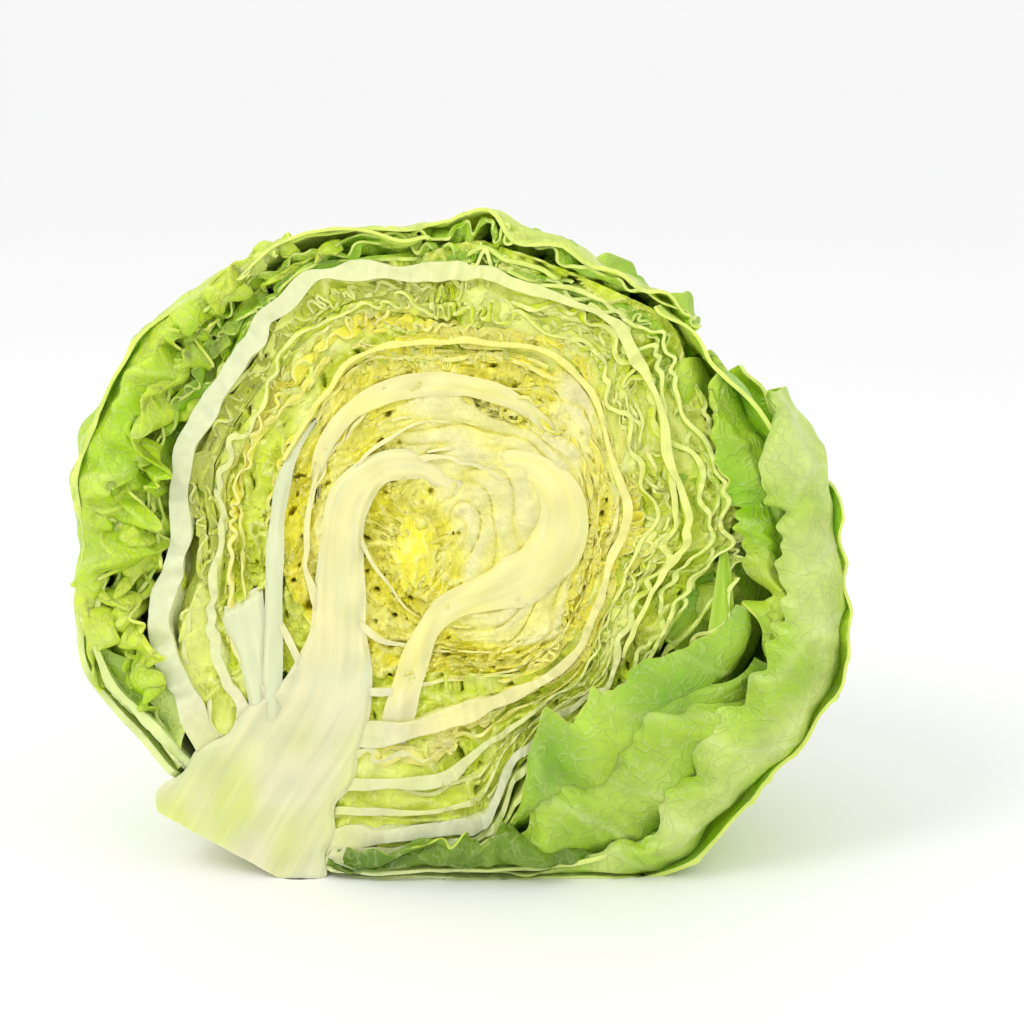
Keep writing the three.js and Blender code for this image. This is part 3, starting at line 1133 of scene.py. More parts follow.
@dataclass(frozen=True)
class Flap:
    """The loose margin of an outer leaf that curls forward round the cut and shows its face.

    It spans the angles from low to high at a level of the head. It comes forward from reach mm behind
    the cut to bulge mm before it while it turns inwards, to end width mm nearer to the heart.
    """

    name: str
    level: float
    low: float
    high: float
    width: float
    bulge: float
    curl: float
    seed: int
    palette: Palette
    reach: float = 16.0
    wave: float = 2.0
    pitch: float = 16.0
    jag: float = 0.3
    peak: float = 0.5
    step: float = 0.6
    rows: int = 46
    thick: float = 0.8
    body: int = 201

    def build(self, finishes: Finishes) -> bpy.types.Object:
        """Makes the finished flap.

        Args:
            finishes: the materials.

        Returns:
            The piece.
        """
        mean_radius = float(HEAD.radius(self.level, np.array(0.5 * (self.low + self.high)), np.array(0.0)))
        along = int(math.radians(self.high - self.low) * mean_radius / self.step)
        sheet = Sheet(self.name, along, self.rows)
        s = np.linspace(0.0, 1.0, along + 1)[:, None]
        v = np.linspace(0.0, 1.0, self.rows + 1)[None, :]
        angle = lerp(self.low, self.high, s) + 0.0 * v
        arc = np.radians(angle) * mean_radius
        points = self.curled(s, v, angle, arc)
        sheet.place(points)
        ribs = np.sin(arc / 7.0 + 2.5 * v + 0.8 * Swell(self.seed + 6, 30.0)(points))
        ribs = np.exp(-((ribs / 0.16) ** 2))
        self.colour(sheet, points, v, ribs)
        thick = self.thick * (0.9 + 0.2 * Swell(self.seed + 8, 9.0)(points)) + 0.5 * ribs * (1.0 - v)
        piece = thicken(self.name, sheet.mesh, sheet.listed(thick), [finishes.skin, finishes.flesh])
        set_points(piece.data, HEAD.stand(organic(get_points(piece.data))))
        finish_piece(piece, self.name.rsplit("_", 1)[0])
        return piece

    def curled(self, s: Array, v: Array, angle: Array, arc: Array) -> Array:
        """Curls the margin forward and inwards.

        Args:
            s: 0 at its low end to 1 at its high end.
            v: 0 at the back to 1 at the free edge.
            angle: the direction of each point, in degrees.
            arc: the way round the head in mm.

        Returns:
            The points (across, back, up) in mm.
        """
        radius = HEAD.radius(self.level, angle, 0.0 * angle)
        tall = np.minimum(s / self.peak, (1.0 - s) / (1.0 - self.peak))
        line = np.stack([arc, 0.0 * arc, np.full_like(arc, 11.0 * self.seed)], axis=-1)
        edge = 1.0 + self.jag * Swell(self.seed + 3, 13.0)(line)
        edge = edge + 0.5 * self.jag * Swell(self.seed + 4, 5.0)(line)
        width = self.width * (0.25 + 0.75 * smoothstep(tall, 0.0, 0.7)) * edge
        turn = math.radians(self.curl) * (v**1.15)
        most = 1.0 - math.cos(math.radians(self.curl))
        inward = width * (1.0 - np.cos(turn)) / most
        uneven = 1.0 + 0.36 * Swell(self.seed + 9, 24.0)(line) + 0.05 * Swell(self.seed + 10, 8.0)(line)
        reach = self.reach * uneven
        forward = -reach + (reach + self.bulge * smoothstep(tall, 0.0, 0.5)) * np.sin(np.minimum(turn, 2.0))
        place = np.stack([arc, 30.0 * v + 0.0 * arc, np.full_like(arc, 5.0 * self.seed)], axis=-1)
        loose = smoothstep(v, 0.2, 1.0)
        fold = Swell(self.seed, self.pitch)(place) * self.wave * loose
        fine = Swell(self.seed + 1, 0.42 * self.pitch)(place) * 0.4 * self.wave * loose
        swirl = Swell(self.seed + 2, self.pitch)(place + 40.0) * self.wave * loose
        hidden = np.maximum(-forward, 0.0)
        close = (1.0 - smoothstep(v, 0.15, 0.5)) * (self.level > OUTSIDE_LEVEL)
        r = np.sqrt((radius - inward) ** 2 - hidden**2) + 0.8 * swirl + 0.6 * fine
        r = r + self.lumps(radius, angle, hidden) * close
        points = HEAD.point(r, angle + np.degrees(0.5 * fold / r), 0.0 * angle)
        points[..., 1] = -forward - fold - 0.5 * fine
        return points

    def lumps(self, radius: Array, angle: Array, hidden: Array) -> Array:
        """Works out the lumps of the leaf that the flap lies on.

        Args:
            radius: the level's radius in mm.
            angle: the direction of each point, in degrees.
            hidden: how far behind the cut it is, in mm.

        Returns:
            How far in mm the flap stands out from its level.
        """
        place = HEAD.point(np.sqrt(radius**2 - hidden**2), angle, 0.0 * angle)
        place[..., 1] += hidden
        lumps = 1.2 + 1.6 * Swell(self.body + 1, 34.0)(place) + Swell(self.body + 2, 12.0)(place)
        return lumps - 0.9 * np.abs(Swell(self.body + 3, 16.0)(place))

    def colour(self, sheet: Sheet, points: Array, v: Array, ribs: Array) -> None:
        """Stores the colours of the flap, which start at its back as those of the leaf it lies on.

        Args:
            sheet: the flap's grid.
            points: its points in mm.
            v: 0 at the back to 1 at the free edge.
            ribs: 0 in the blade to 1 on a small rib.
        """
        patch = np.clip(0.5 + 0.55 * Swell(self.seed + 5, 22.0)(points), 0.0, 1.0)
        shared = np.clip(0.5 + 0.55 * Swell(self.body + 5, 26.0)(points), 0.0, 1.0)
        own = blend(self.palette.pale, self.palette.blade, patch)
        skin = blend(blend(OUTER.pale, OUTER.blade, shared), own, smoothstep(v, 0.08, 0.5))
        sheet.store("tint", blend(skin, self.palette.rib, 0.45 * ribs * (1.0 - 0.6 * v)))
        sheet.store("flesh", np.zeros_like(skin) + np.array(self.palette.edge))


@dataclass(frozen=True)
class Patch:
    """A place that is more frilled than the rest, or smoother where frill is below 0; sizes in mm."""

    across: float
    up: float
    size: float
    frill: float

    def __call__(self, points: Array) -> Array:
        """How much the patch adds to the frills at points (across, back, up)."""
        gap = np.hypot(points[..., 0] - self.across, points[..., 2] - self.up)
        return self.frill * np.exp(-((gap / self.size) ** 2))


@dataclass(frozen=True)
class Crumple:
    """Crumpled blade between the leaves of one part of the head, just behind the cut."""

    name: str
    node: str
    inner: float
    outer: float
    depth: float
    cell: float
    palette: Palette
    smooth: Colour
    frill: float
    patches: tuple[Patch, ...]
    seed: int
    rings: int
    sides: int
    widen: float = 0.0

    def build(self, finishes: Finishes) -> bpy.types.Object:
        """Makes a ring of soft folds and thin crests that nearly reach the cut, with a few pits.

        Args:
            finishes: the materials.

        Returns:
            The piece.
        """
        sheet = Sheet(self.name, self.sides, self.rings)
        turn = np.linspace(0.0, 360.0, self.sides + 1)[:, None] + np.zeros((1, self.rings + 1))
        mean = np.linspace(self.inner, self.outer, self.rings + 1)[None, :] + 0.0 * turn
        flat = self.spread(turn, mean)
        frill = self.frill + 0.45 * Swell(self.seed + 7, 20.0)(flat)
        for patch in self.patches:
            frill = frill + patch(flat)
        self.fold(sheet, flat, (turn, mean), smoothstep(frill, 0.1, 0.9))
        self.join(sheet.mesh)
        thick = np.full(len(sheet.mesh.vertices), 0.5)
        piece = thicken(self.name, sheet.mesh, thick, [finishes.heart_skin, finishes.flesh])
        moved = squeeze(get_points(piece.data))
        gap = HEAD.cut_gap(moved)
        moved[:, 1] = np.maximum(moved[:, 1], 4.0 * smoothstep(-gap, 2.0, 4.5) - 0.2)
        set_points(piece.data, HEAD.stand(organic(moved)))
        finish_piece(piece, self.node)
        return piece

    def spread(self, turn: Array, mean: Array) -> Array:
        """Lays the ring out flat, round in its middle and shaped as the heart's outline further out.

        Args:
            turn: the direction of each point in degrees.
            mean: its mean distance from the middle in mm.

        Returns:
            The points (across, back, up) in mm.
        """
        share = np.minimum(mean / HEART_RADIUS, 1.0)
        radius = np.where(share < 1.0, lerp(mean, HEAD.radius(share, turn, 0.0 * turn), share), mean)
        low = np.exp(-(((turn - 255.0) / 26.0) ** 2)) + 0.7 * np.exp(-(((turn - 214.0) / 18.0) ** 2))
        radius = radius * (1.0 + self.widen * low * smoothstep(mean, self.inner + 8.0, self.outer))
        return HEAD.point(radius, turn, 0.0 * turn)

    def fold(self, sheet: Sheet, flat: Array, ring: tuple[Array, Array], frill: Array) -> None:
        """Folds the ring and colours its crests, folds and grooves.

        Args:
            sheet: the ring's grid.
            flat: its points in mm before they are folded.
            ring: the direction of each point in degrees and its mean distance in mm.
            frill: 0 where the blade lies in soft folds to 1 where it is frilled.
        """
        turn, mean = ring
        swirl = Swell(self.seed + 1, 14.0)(flat)
        a = np.radians(turn)
        wide = 14.0 * smoothstep(mean, 0.0, 12.0)
        flow = np.stack([wide * np.cos(a), wide * np.sin(a), 1.1 * mean + 2.5 * swirl], axis=-1)
        spun = flat + 2.0 * swirl[..., None]
        coarse = 1.0 - np.abs(np.clip(Swell(self.seed + 2, self.cell)(spun), -1.0, 1.0))
        fine = 1.0 - np.abs(np.clip(Swell(self.seed + 3, 0.55 * self.cell)(spun), -1.0, 1.0))
        crest = np.clip(0.68 * coarse**3 + 0.5 * fine**4, 0.0, 1.0)
        soft = np.clip(0.5 + 0.5 * Swell(self.seed + 4, 8.0)(flow), 0.0, 1.0)
        crease = Swell(self.seed + 8, 9.0)(flow * np.array([0.55, 0.55, 1.25]) + 3.0)
        groove = np.exp(-((np.abs(np.clip(crease, -1.0, 1.0)) / 0.3) ** 2))
        pit = smoothstep(Swell(self.seed + 5, 4.2)(flat), 0.95, 1.35) * frill
        gentle = self.depth * (0.1 + 0.24 * soft + 0.3 * groove)
        depth = lerp(gentle, self.depth * (1.0 - crest), frill) + 4.5 * pit
        points = flat + 0.0
        points[..., 1] = np.maximum(depth, 0.0) + 0.15 * Swell(self.seed + 6, 2.2)(flat)
        sheet.place(points)
        skin = blend(self.palette.blade, self.palette.pale, soft)
        skin = blend(skin, self.palette.edge, smoothstep(crest, 0.45, 0.9))
        calm = blend(self.smooth, self.palette.pale, np.clip(0.75 * soft, 0.0, 1.0))
        calm = blend(calm, self.palette.blade, 0.35 * groove)
        skin = blend(calm, skin, smoothstep(frill, 0.1, 0.7))
        sheet.store("tint", skin)
        sheet.store("flesh", skin)

    def join(self, mesh: bpy.types.Mesh) -> None:
        """Joins the ends of the ring and turns all its faces the same way.

        Args:
            mesh: the ring's sheet, in mm.
        """
        bm = bmesh.new()
        bm.from_mesh(mesh)
        bmesh.ops.remove_doubles(bm, verts=bm.verts[:], dist=1e-4)
        bmesh.ops.recalc_face_normals(bm, faces=bm.faces[:])
        bm.to_mesh(mesh)
        bm.free()


# ---------------------------------------------------------------- the core and the bud


@dataclass(frozen=True)
class Stalk:
    """A thick fleshy stalk or rib that shows its cut face: nearly flat in front and half round behind.

    line gives across, up and half the width in mm along its middle. proud is how far its face stands
    before the cut, root the length in mm over which it rises out of the face of what carries it, and fade
    the length over which its tip sinks in among the leaves.
    """

    name: str
    node: str
    line: tuple[tuple[float, float, float], ...]
    seed: int
    flesh: Colour
    streak: Colour
    proud: float = 0.5
    root: float = 12.0
    steps: int = 130
    round_sides: int = 14
    face_sides: int = 26
    shoulder: float = 2.4
    uneven: float = 0.4
    fade: float = 22.0
    slant: float = 0.0
    core: bool = False

    def build(self, finishes: Finishes) -> bpy.types.Object:
        """Makes the finished stalk.

        Args:
            finishes: the materials.

        Returns:
            The piece.
        """
        sheet = Sheet(self.name, self.steps, self.round_sides + self.face_sides)
        line = smooth_line(self.line, self.steps + 1)
        ahead = np.gradient(line[:, :2], axis=0)
        length = np.cumsum(np.linalg.norm(ahead, axis=1))[:, None]
        ahead /= np.linalg.norm(ahead, axis=1)[:, None]
        turn = np.linspace(0.0, math.pi, self.round_sides + 1)
        across = np.concatenate([np.cos(turn), np.linspace(-1.0, 1.0, self.face_sides + 1)[1:]])[None, :]
        back = np.concatenate([np.sin(turn), np.zeros(self.face_sides)])[None, :]
        middle = np.stack([line[:, 0], 0.0 * line[:, 0], line[:, 1]], axis=-1)
        radius = np.maximum(line[:, 2:3] * (1.0 + 0.10 * Swell(self.seed, 11.0)(middle)[:, None]), 0.25)
        sideways = radius * across
        ragged = 1.2 * min(abs(self.slant), 0.5)
        ragged = ragged * Swell(self.seed + 6, 3.0)(middle[-1:] + sideways[..., None])
        nib = smoothstep(length, length[-1] - 12.0, length[-1]) * (self.slant * sideways + ragged)
        grain = np.stack([sideways, 0.0 * sideways, length + 0.0 * sideways], axis=-1)
        groove = Swell(self.seed + 1, 2.4)(grain * np.array([1.0, 1.0, 0.10]) + 9.0)
        shoulder = smoothstep(radius * (1.0 - np.abs(across)), 0.0, self.shoulder)
        uneven = self.uneven * Swell(self.seed + 2, 9.0)(grain) + 0.09 * groove
        face = -self.proud * shoulder + uneven * shoulder
        face = face + (self.proud + 1.4) * (1.0 - smoothstep(length, 0.0, max(self.root, 0.01)))
        face = face + (self.proud + 0.9) * (1.0 - smoothstep(length[-1] - length, 0.0, self.fade))
        points = np.stack(
            [
                line[:, :1] - ahead[:, 1:] * sideways + ahead[:, :1] * nib,
                np.where(back > 1e-9, np.maximum(radius * back, face), face),
                line[:, 1:2] + ahead[:, :1] * sideways + ahead[:, 1:] * nib,
            ],
            axis=-1,
        )
        sheet.place(points)
        streak = 0.16 * groove + 0.2 * Swell(self.seed + 4, 9.0)(grain * 0.6) + 0.25 * across**4
        self.colour(sheet, points, grain, np.clip(streak, 0.0, 0.5))
        self.close(sheet.mesh)
        sheet.mesh.materials.append(finishes.core)
        piece = bpy.data.objects.new(self.name, sheet.mesh)
        bpy.context.scene.collection.objects.link(piece)
        set_points(sheet.mesh, HEAD.stand(get_points(sheet.mesh)))
        finish_piece(piece, self.node)
        return piece

    def colour(self, sheet: Sheet, points: Array, grain: Array, streak: Array) -> None:
        """Stores the colour of the stalk's flesh and the way its threads run.

        Args:
            sheet: the stalk's grid.
            points: its points in mm.
            grain: each point's place sideways and along the stalk, in mm.
            streak: how much of the colour of its threads shows.
        """
        own = core_tint(points) if self.core else np.array(self.flesh)
        rooted = (1.0 - smoothstep(grain[..., 2], 6.0, 24.0)) * (self.root > 0.0)
        flesh = blend(blend(own, core_tint(points), rooted), self.streak, streak)
        sheet.store("tint", flesh)
        sheet.store("flesh", flesh)
        sheet.store("grain", grain * MM)

    def close(self, mesh: bpy.types.Mesh) -> None:
        """Joins the sides of the stalk and closes its ends.

        Args:
            mesh: the stalk's grid, in mm.
        """
        bm = bmesh.new()
        bm.from_mesh(mesh)
        bmesh.ops.remove_doubles(bm, verts=bm.verts[:], dist=0.01)
        bmesh.ops.holes_fill(bm, edges=[e for e in bm.edges if e.is_boundary])
        bmesh.ops.recalc_face_normals(bm, faces=bm.faces[:])
        bmesh.ops.triangulate(bm, faces=[f for f in bm.faces if len(f.verts) > 4])
        bm.to_mesh(mesh)
        bm.free()


@dataclass(frozen=True)
class Bud:
    """The tightly folded bud in the middle of the heart."""

    radius: float = 7.5
    across: float = -9.0
    up: float = -6.0

    def build(self, finishes: Finishes) -> bpy.types.Object:
        """Makes the bud as a wrinkled low half ball.

        Args:
            finishes: the materials.

        Returns:
            The piece.
        """
        bm = bmesh.new()
        bmesh.ops.create_icosphere(bm, subdivisions=6, radius=self.radius)
        bmesh.ops.recalc_face_normals(bm, faces=bm.faces[:])
        mesh = bpy.data.meshes.new("heart_bud_fold")
        bm.to_mesh(mesh)
        bm.free()
        moved = get_points(mesh)
        crest = 1.0 - np.abs(np.clip(Swell(61, 5.0)(moved), -1.0, 1.0))
        fine = 1.0 - np.abs(np.clip(Swell(62, 2.6)(moved), -1.0, 1.0))
        fold = np.clip(0.7 * crest**2 + 0.4 * fine**3, 0.0, 1.2)
        moved *= (0.86 + 0.26 * fold)[:, None]
        moved = moved * np.array([0.85, 0.38, 1.25]) + np.array([self.across, 2.6, self.up])
        yellow = lerp(np.array(HEART.blade), np.array(HEART.edge), smoothstep(fold, 0.3, 1.0)[:, None])
        add_values(mesh, "tint", yellow)
        add_values(mesh, "flesh", yellow)
        mesh.materials.append(finishes.heart_skin)
        piece = bpy.data.objects.new("heart_bud_fold", mesh)
        bpy.context.scene.collection.objects.link(piece)
        set_points(mesh, HEAD.stand(moved))
        finish_piece(piece, "heart_bud")
        return piece


# ---------------------------------------------------------------- the stage


@dataclass(frozen=True)
class Stage:
    """A pale floor, soft lights and the camera."""

    lens: float = 85.0
    distance: float = 0.559
    azimuth: float = 0.0
    elevation: float = 13.0

    def build(self) -> None:
        """Makes the floor, the lights and the camera."""
        bm = bmesh.new()
        bmesh.ops.create_grid(bm, x_segments=1, y_segments=1, size=15.0)
        mesh = bpy.data.meshes.new("floor")
        bm.to_mesh(mesh)
        bm.free()
        floor = bpy.data.objects.new("floor", mesh)
        bpy.context.scene.collection.objects.link(floor)
        pale = Nodes("floor_white")
        pale.shader.inputs["Base Color"].default_value = (0.93, 0.93, 0.93, 1.0)
        pale.shader.inputs["Roughness"].default_value = 0.6
        mesh.materials.append(pale.material)
        world = bpy.data.worlds.new("studio")
        world.use_nodes = True
        sky = world.node_tree.nodes["Background"]
        sky.inputs["Color"].default_value = (1.0, 1.0, 1.0, 1.0)
        sky.inputs["Strength"].default_value = 1.0
        bpy.context.scene.world = world
        self.light("key", (-0.5, -0.45, 0.8), 0.35, 2.6)
        self.light("fill", (0.7, -0.5, 0.45), 0.8, 0.4)
        camera = bpy.data.objects.new("camera", bpy.data.cameras.new("camera"))
        bpy.context.scene.collection.objects.link(camera)
        camera.data.lens = self.lens
        aim = Vector((0.0075, -0.005, 0.0815))
        a, e = math.radians(self.azimuth), math.radians(self.elevation)
        back = Vector((math.sin(a) * math.cos(e), -math.cos(a) * math.cos(e), math.sin(e)))
        camera.location = aim + back * self.distance
        camera.rotation_mode = "QUATERNION"
        camera.rotation_quaternion = (-back).to_track_quat("-Z", "Y")
        bpy.context.scene.camera = camera
        bpy.context.scene.view_settings.view_transform = "Standard"

    def light(self, name: str, place: Colour, size: float, power: float) -> None:
        """Adds one soft area light that looks at the head.

        Args:
            name: the light's name.
            place: where it stands, in metres.
            size: the side of its square, in metres.
            power: in watts.
        """
        data = bpy.data.lights.new(name, "AREA")
        data.size = size
        data.energy = power
        lamp = bpy.data.objects.new(name, data)
        bpy.context.scene.collection.objects.link(lamp)
        lamp.location = place
        lamp.rotation_mode = "QUATERNION"
        lamp.rotation_quaternion = (Vector((0.0, 0.0, 0.07)) - Vector(place)).to_track_quat("-Z", "Y")


# ---------------------------------------------------------------- the leaves of this head


FLESHY = Ruffle(34.0, 0.05, 0.16, 14.0, 1.0, 1.6, 0.35)
SMOOTH = Ruffle(20.0, 0.12, 0.45, 14.0, 1.0, 2.4, 0.5)
GENTLE = Ruffle(12.0, 0.3, 0.85, 14.0, 1.0, 2.6, 0.8)
WAVY = Ruffle(10.0, 0.35, 1.3)
CURLY = Ruffle(7.0, 0.4, 1.65, 12.0)
FRILLY = Ruffle(4.6, 0.5, 1.8, 9.0, 1.25)
CRUMPLED = Ruffle(4.6, 1.3, 1.8, 9.0, 1.25)


def packed_leaves() -> list[PackedLeaf]:
    """The leaves between the wrappers and the bud, from the outside in."""
    left, right = Side.LEFT, Side.RIGHT
    return [
        PackedLeaf("loose_leaf_1", 2.48, right, -12, 2.0, 1.0, WAVY, LOOSE, 101, 1.5, flare=9.0),
        PackedLeaf("loose_leaf_2", 2.25, right, 60, 1.6, 1.0, GENTLE, LOOSE, 102, 1.0, flare=16.0),
        PackedLeaf("loose_leaf_3", 2.13, right, 84, 3.4, 1.2, GENTLE, LOOSE, 103, 0.4, flare=17.0),
        PackedLeaf("head_leaf_1", 2.0, left, -36, 5.8, 1.8, FLESHY, HEAD_PALE, 104, 1.5, 0.9, flare=8.0),
        PackedLeaf("head_leaf_2", 1.85, right, 72, 5.4, 1.4, GENTLE, HEAD_PALE, 105, 0.4, 0.6, flare=20.0),
        PackedLeaf("head_leaf_3", 1.73, left, 96, 1.4, 0.9, CRUMPLED, HEAD_PALE, 106, -0.5),
        PackedLeaf("head_leaf_4", 1.62, right, 84, 1.4, 1.0, WAVY, HEAD_PALE, 107, -0.4, flare=20.0),
        PackedLeaf("head_leaf_5", 1.5, left, 48, 3.2, 0.9, CURLY, HEAD_PALE, 108, 0.3),
        PackedLeaf("head_leaf_6", 1.38, right, 60, 3.2, 1.1, GENTLE, HEAD_PALE, 109, 0.3, flare=20.0),
        PackedLeaf("head_leaf_7", 1.27, left, 108, 2.6, 0.8, FRILLY, HEART, 110, 0.0),
        PackedLeaf("head_leaf_8", 1.14, right, 96, 1.3, 0.8, CRUMPLED, HEART, 111, -0.5, flare=18.0),
        PackedLeaf("heart_leaf_1", 1.0, right, 156, 5.0, 1.4, FLESHY, HEART, 112, 0.8, 0.75, flare=17.0),
        PackedLeaf("heart_leaf_2", 0.89, left, 24, 1.6, 0.9, SMOOTH, HEART, 113, -0.5),
        PackedLeaf("heart_leaf_3", 0.78, right, 132, 1.3, 0.8, GENTLE, HEART, 114, -0.7),
        PackedLeaf("heart_leaf_4", 0.67, left, 12, 1.8, 1.0, GENTLE, HEART, 115, -0.6, flare=8.0),
        PackedLeaf("heart_leaf_5", 0.56, right, 120, 1.2, 0.8, GENTLE, HEART, 116, -0.8, flare=8.0),
        PackedLeaf("heart_leaf_6", 0.45, left, 0, 1.4, 0.9, SMOOTH, HEART, 117, -0.6, flare=6.0),
        PackedLeaf("heart_leaf_7", 0.34, right, 108, 1.2, 0.8, SMOOTH, HEART, 118, -0.8, flare=6.0),
        PackedLeaf("heart_leaf_8", 0.23, left, -24, 1.2, 0.8, CURLY, HEART, 119, -0.8, flare=4.0),
    ]


def folded_blades() -> list[PackedLeaf]:
    """Second plies of the leaves whose blades are folded over themselves, from the outside in."""
    left, right = Side.LEFT, Side.RIGHT
    plies = [
        ("wrapper_leaf_2", 2.72, left, 40, 0.22, WAVY, OUTER),
        ("wrapper_leaf_4", 2.42, left, 64, 0.12, CURLY, OUTER),
        ("wrapper_leaf_4", 2.22, left, 30, 0.2, WAVY, OUTER),
        ("loose_leaf_1", 2.40, right, 36, 0.25, GENTLE, LOOSE),
        ("loose_leaf_3", 2.19, right, 70, 0.3, GENTLE, LOOSE),
        ("head_leaf_1", 1.92, left, 60, 0.12, SMOOTH, HEAD_PALE),
        ("head_leaf_2", 1.78, right, 80, 0.2, WAVY, HEAD_PALE),
        ("head_leaf_2", 1.70, right, 66, 0.3, GENTLE, HEAD_PALE),
        ("head_leaf_3", 1.66, left, 80, 0.22, CRUMPLED, HEAD_PALE),
        ("head_leaf_4", 1.54, right, 70, 0.1, WAVY, HEAD_PALE),
        ("head_leaf_4", 1.46, right, 50, 0.3, GENTLE, HEAD_PALE),
        ("head_leaf_5", 1.43, left, 100, 0.22, FRILLY, HEART),
        ("head_leaf_6", 1.30, right, 74, 0.15, CURLY, HEART),
        ("head_leaf_7", 1.20, left, 90, 0.12, FRILLY, HEART),
        ("head_leaf_8", 1.08, right, 120, 0.16, CRUMPLED, HEART),
        ("heart_leaf_2", 0.945, left, 60, 0.2, FRILLY, HEART),
        ("heart_leaf_3", 0.90, right, 40, 0.30, CRUMPLED, HEART),
        ("heart_leaf_3", 0.72, right, 90, 0.30, CRUMPLED, HEART),
        ("heart_leaf_4", 0.615, left, 40, 0.3, FRILLY, HEART),
    ]
    return [
        PackedLeaf(
            f"{node}_ply_{number}", level, side, tip, 1.3, 0.8, ruffle, palette, 140 + number,
            -0.6, 0.2, start, node, depth_end=30.0, rows=12,
        )
        for number, (node, level, side, tip, start, ruffle, palette) in enumerate(plies)
    ]


def wrapper_leaves() -> list[WrapperLeaf]:
    """The broad outer leaves, from the outside in."""
    return [
        WrapperLeaf("wrapper_leaf_1", 3.0, 128, 140, 86, 201, OUTER),
        WrapperLeaf("wrapper_leaf_2", 2.84, 38, 178, 78, 202, OUTER),
        WrapperLeaf("wrapper_leaf_3", 2.7, 168, 166, 62, 203, OUTER, proud=3.0),
        WrapperLeaf("wrapper_leaf_4", 2.56, 14, 136, 56, 204, OUTER, proud=2.0),
        WrapperLeaf("wrapper_leaf_5", 2.36, 84, 180, 64, 205, OUTER, along=110, across=100),
    ]


def flaps() -> list[Flap]:
    """The curled margins of the outer leaves, seen from the front."""
    return [
        Flap(
            "wrapper_leaf_1_lip", 3.0, -84, 24, 19, 8, 116, 401, PALE_OUTER,
            peak=0.75, jag=0.14, wave=1.6, pitch=22.0,
        ),
        Flap(
            "wrapper_leaf_1_fold", 2.84, -86, -26, 27, 7, 122, 402, PALE_OUTER,
            peak=0.6, jag=0.14, wave=1.8, pitch=24.0,
        ),
        Flap(
            "wrapper_leaf_3_fold", 2.62, -70, -24, 25, 6, 112, 403, FOLD_OUTER,
            peak=0.35, jag=0.12, wave=1.6, pitch=24.0,
        ),
        Flap(
            "wrapper_leaf_3_lip", 2.72, -30, 34, 15, 2, 112, 404, OUTER,
            peak=0.4, jag=0.2, wave=2.4, pitch=16.0,
        ),
        Flap(
            "wrapper_leaf_5_curl", 2.84, -111, -64, 17, 7, 116, 405, DARK_OUTER,
            jag=0.12, wave=2.4, pitch=13.0,
        ),
        Flap(
            "wrapper_leaf_2_curl", 2.93, 118, 204, 15, 4, 130, 406, CURL_OUTER,
            wave=3.0, pitch=10.0, jag=0.22, peak=0.6, body=202,
        ),
        Flap(
            "wrapper_leaf_2_tip", 2.66, 184, 211, 12, 3, 96, 409, CURL_OUTER,
            wave=2.8, pitch=9.0, jag=0.4,
        ),
        Flap(
            "wrapper_leaf_4_curl", 2.5, 128, 206, 12, 2, 130, 407, CURL_OUTER,
            wave=3.0, pitch=9.0, jag=0.3,
        ),
        Flap(
            "wrapper_leaf_4_foot", 2.86, 198, 221, 14, 0, 92, 408, PALE_OUTER,
            wave=0.6, pitch=20.0, jag=0.05,
        ),
        Flap(
            "wrapper_leaf_4_fold", 2.42, -80, -18, 25, 9, 104, 412, FOLD_OUTER,
            peak=0.42, jag=0.08, wave=1.4, pitch=26.0,
        ),
        Flap(
            "wrapper_leaf_3_curl", 2.74, 120, 198, 8, 1, 150, 411, LOOSE,
            wave=2.6, pitch=7.0, jag=0.3,
        ),
        Flap(
            "wrapper_leaf_4_inner", 2.3, 112, 204, 10, -3, 110, 413, CURL_OUTER,
            wave=2.0, pitch=9.0, jag=0.3, reach=22.0, step=0.8, rows=36,
        ),
        Flap(
            "wrapper_leaf_5_inner", 2.62, -44, 34, 30, -5, 104, 410, OUTER,
            wave=2.2, pitch=20.0, jag=0.12, reach=26.0,
        ),
    ]


def crumples() -> list[Crumple]:
    """The crumpled blades between the leaves, from the middle out."""
    heart = (
        Patch(-8.0, -8.0, 12.0, 0.9),
        Patch(5.0, -34.0, 13.0, 1.0),
        Patch(-15.0, -30.0, 7.0, 0.9),
        Patch(-35.0, -12.0, 8.0, 0.9),
        Patch(-15.0, 38.0, 9.0, 0.8),
        Patch(15.0, 38.0, 9.0, 0.8),
        Patch(33.0, 5.0, 7.0, 0.6),
        Patch(16.0, -4.0, 12.0, -0.9),
        Patch(0.0, 29.0, 10.0, -0.7),
    )
    head = (
        Patch(-54.0, 15.0, 16.0, 0.9),
        Patch(-50.0, -20.0, 12.0, 0.7),
        Patch(0.0, -56.0, 20.0, 0.4),
        Patch(40.0, 20.0, 20.0, -0.3),
    )
    return [
        Crumple(
            "heart_crumple", "heart_leaf_5", 0.3, 41.0, 2.6, 5.6, HEART, HEART.rib, 0.4, heart,
            501, 98, 440,
        ),
        Crumple(
            "head_crumple", "head_leaf_3", 40.0, 66.0, 2.8, 8.0, HEAD_PALE, HEAD_PALE.edge, 0.6, head,
            511, 52, 640, 0.2,
        ),
    ]


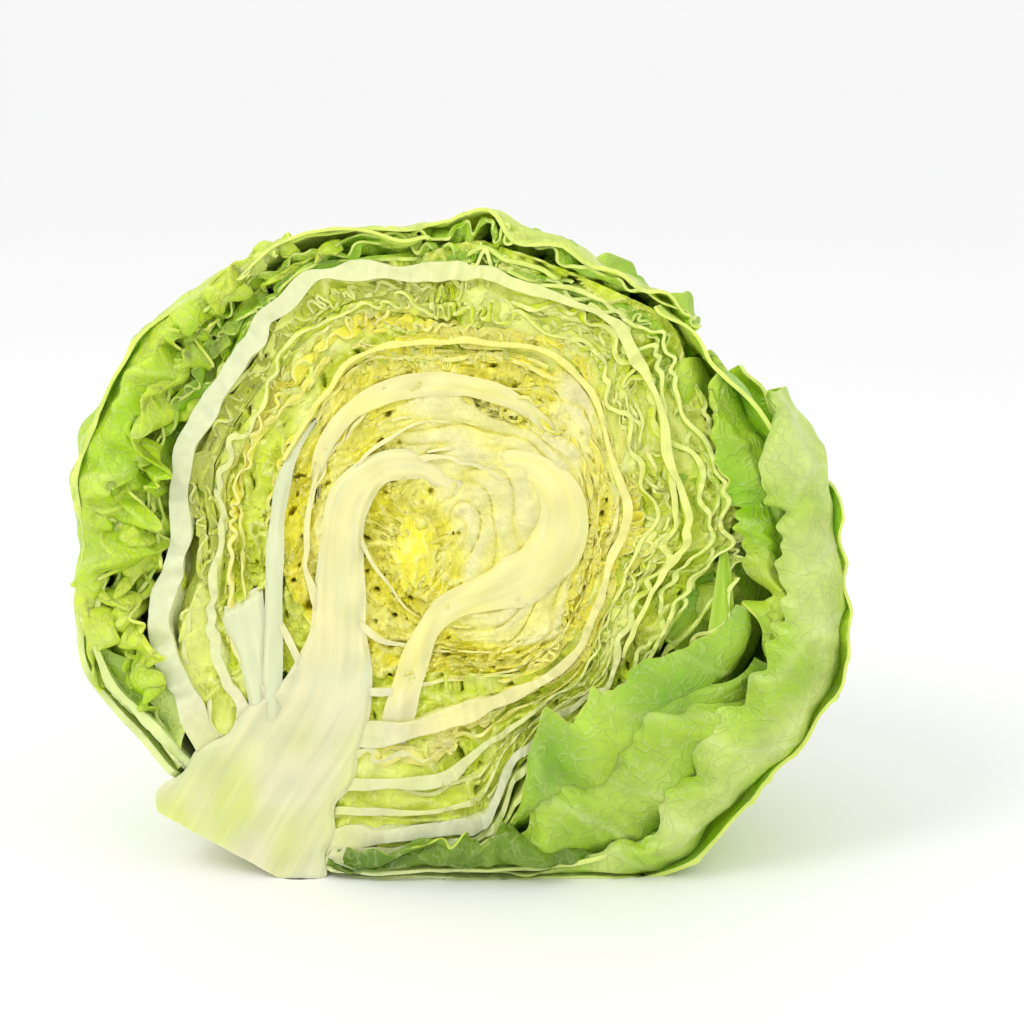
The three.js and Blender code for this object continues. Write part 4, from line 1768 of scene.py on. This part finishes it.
def stalks() -> list[Stalk]:
    """The core with the crook that closes over the heart, and the fleshy ribs that rise from it."""
    return [
        Stalk(
            "core_stalk", "core", HEAD.core_line, 301, CREAM, GREY_GREEN,
            proud=0.65, root=0.0, steps=260, round_sides=36, face_sides=72, shoulder=1.6, uneven=0.5,
            fade=30.0, core=True,
        ),
        Stalk(
            "heart_leaf_6_rib", "heart_leaf_6",
            (
                (-15.0, -52.0, 3.6), (-12.0, -41.0, 3.4), (-9.5, -32.0, 3.0), (-6.5, -23.5, 2.8),
                (-1.0, -17.0, 3.2), (8.0, -14.5, 4.6), (17.5, -11.0, 6.0), (25.0, -3.0, 6.2),
                (26.0, 7.0, 5.2), (20.0, 14.5, 4.2), (11.0, 15.5, 2.6), (4.0, 12.5, 1.0),
            ),
            311, HEART.rib, HEART.pale, root=16.0, fade=20.0, uneven=0.8, shoulder=3.4,
        ),
        Stalk(
            "heart_leaf_2_rib", "heart_leaf_2",
            (
                (-40.5, -57.0, 3.0), (-42.0, -45.0, 2.5), (-41.5, -30.0, 2.3), (-41.0, -14.0, 2.1),
                (-40.5, 1.0, 1.8), (-38.5, 13.0, 1.3), (-33.5, 23.0, 0.8), (-27.0, 29.0, 0.4),
            ),
            312, HEAD_PALE.rib, GREY_GREEN, proud=0.8, root=20.0, fade=12.0, shoulder=1.6,
        ),
        Stalk(
            "head_leaf_7_rib", "head_leaf_7",
            (
                (-44.0, -60.0, 1.2), (-44.6, -48.0, 1.2), (-45.2, -37.0, 2.0), (-46.4, -28.0, 3.3),
                (-47.6, -21.0, 4.5), (-48.6, -15.5, 5.6),
            ),
            313, HEAD_PALE.rib, GREY_GREEN, proud=1.1, root=18.0, fade=2.4, shoulder=1.4, slant=-0.4,
        ),
        Stalk(
            "heart_leaf_4_rib", "heart_leaf_4",
            (
                (-31.5, 6.0, 1.0), (-31.0, 17.0, 1.7), (-24.0, 27.5, 2.2), (-12.0, 33.0, 2.7),
                (2.0, 33.5, 2.6), (14.0, 30.0, 2.0), (22.5, 23.0, 1.3), (27.0, 16.0, 0.5),
            ),
            314, HEART.rib, HEART.pale, proud=0.2, fade=22.0, uneven=0.9, shoulder=2.6,
        ),
        Stalk(
            "wrapper_leaf_5_pleat", "wrapper_leaf_5",
            (
                (62.0, -4.0, 0.8), (62.0, -14.0, 2.2), (61.5, -25.0, 3.0), (60.0, -36.0, 2.8),
                (57.5, -46.0, 1.0),
            ),
            315, PALE_OUTER.blade, LOOSE.pale, proud=1.5, root=0.0, fade=10.0, steps=90,
        ),
    ]


def main() -> None:
    """Builds the lettuce around its CAD model and sets the stage."""
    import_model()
    finishes = Finishes()
    leaves = [*stalks(), *wrapper_leaves(), *flaps(), *packed_leaves(), *folded_blades(), *crumples()]
    total = sum(len(leaf.build(finishes).data.polygons) for leaf in leaves)
    Bud().build(finishes)
    log.info("%d leaf faces", total)
    Stage().build()


if __name__ == "__main__":
    logging.basicConfig(level=logging.INFO)
    main()
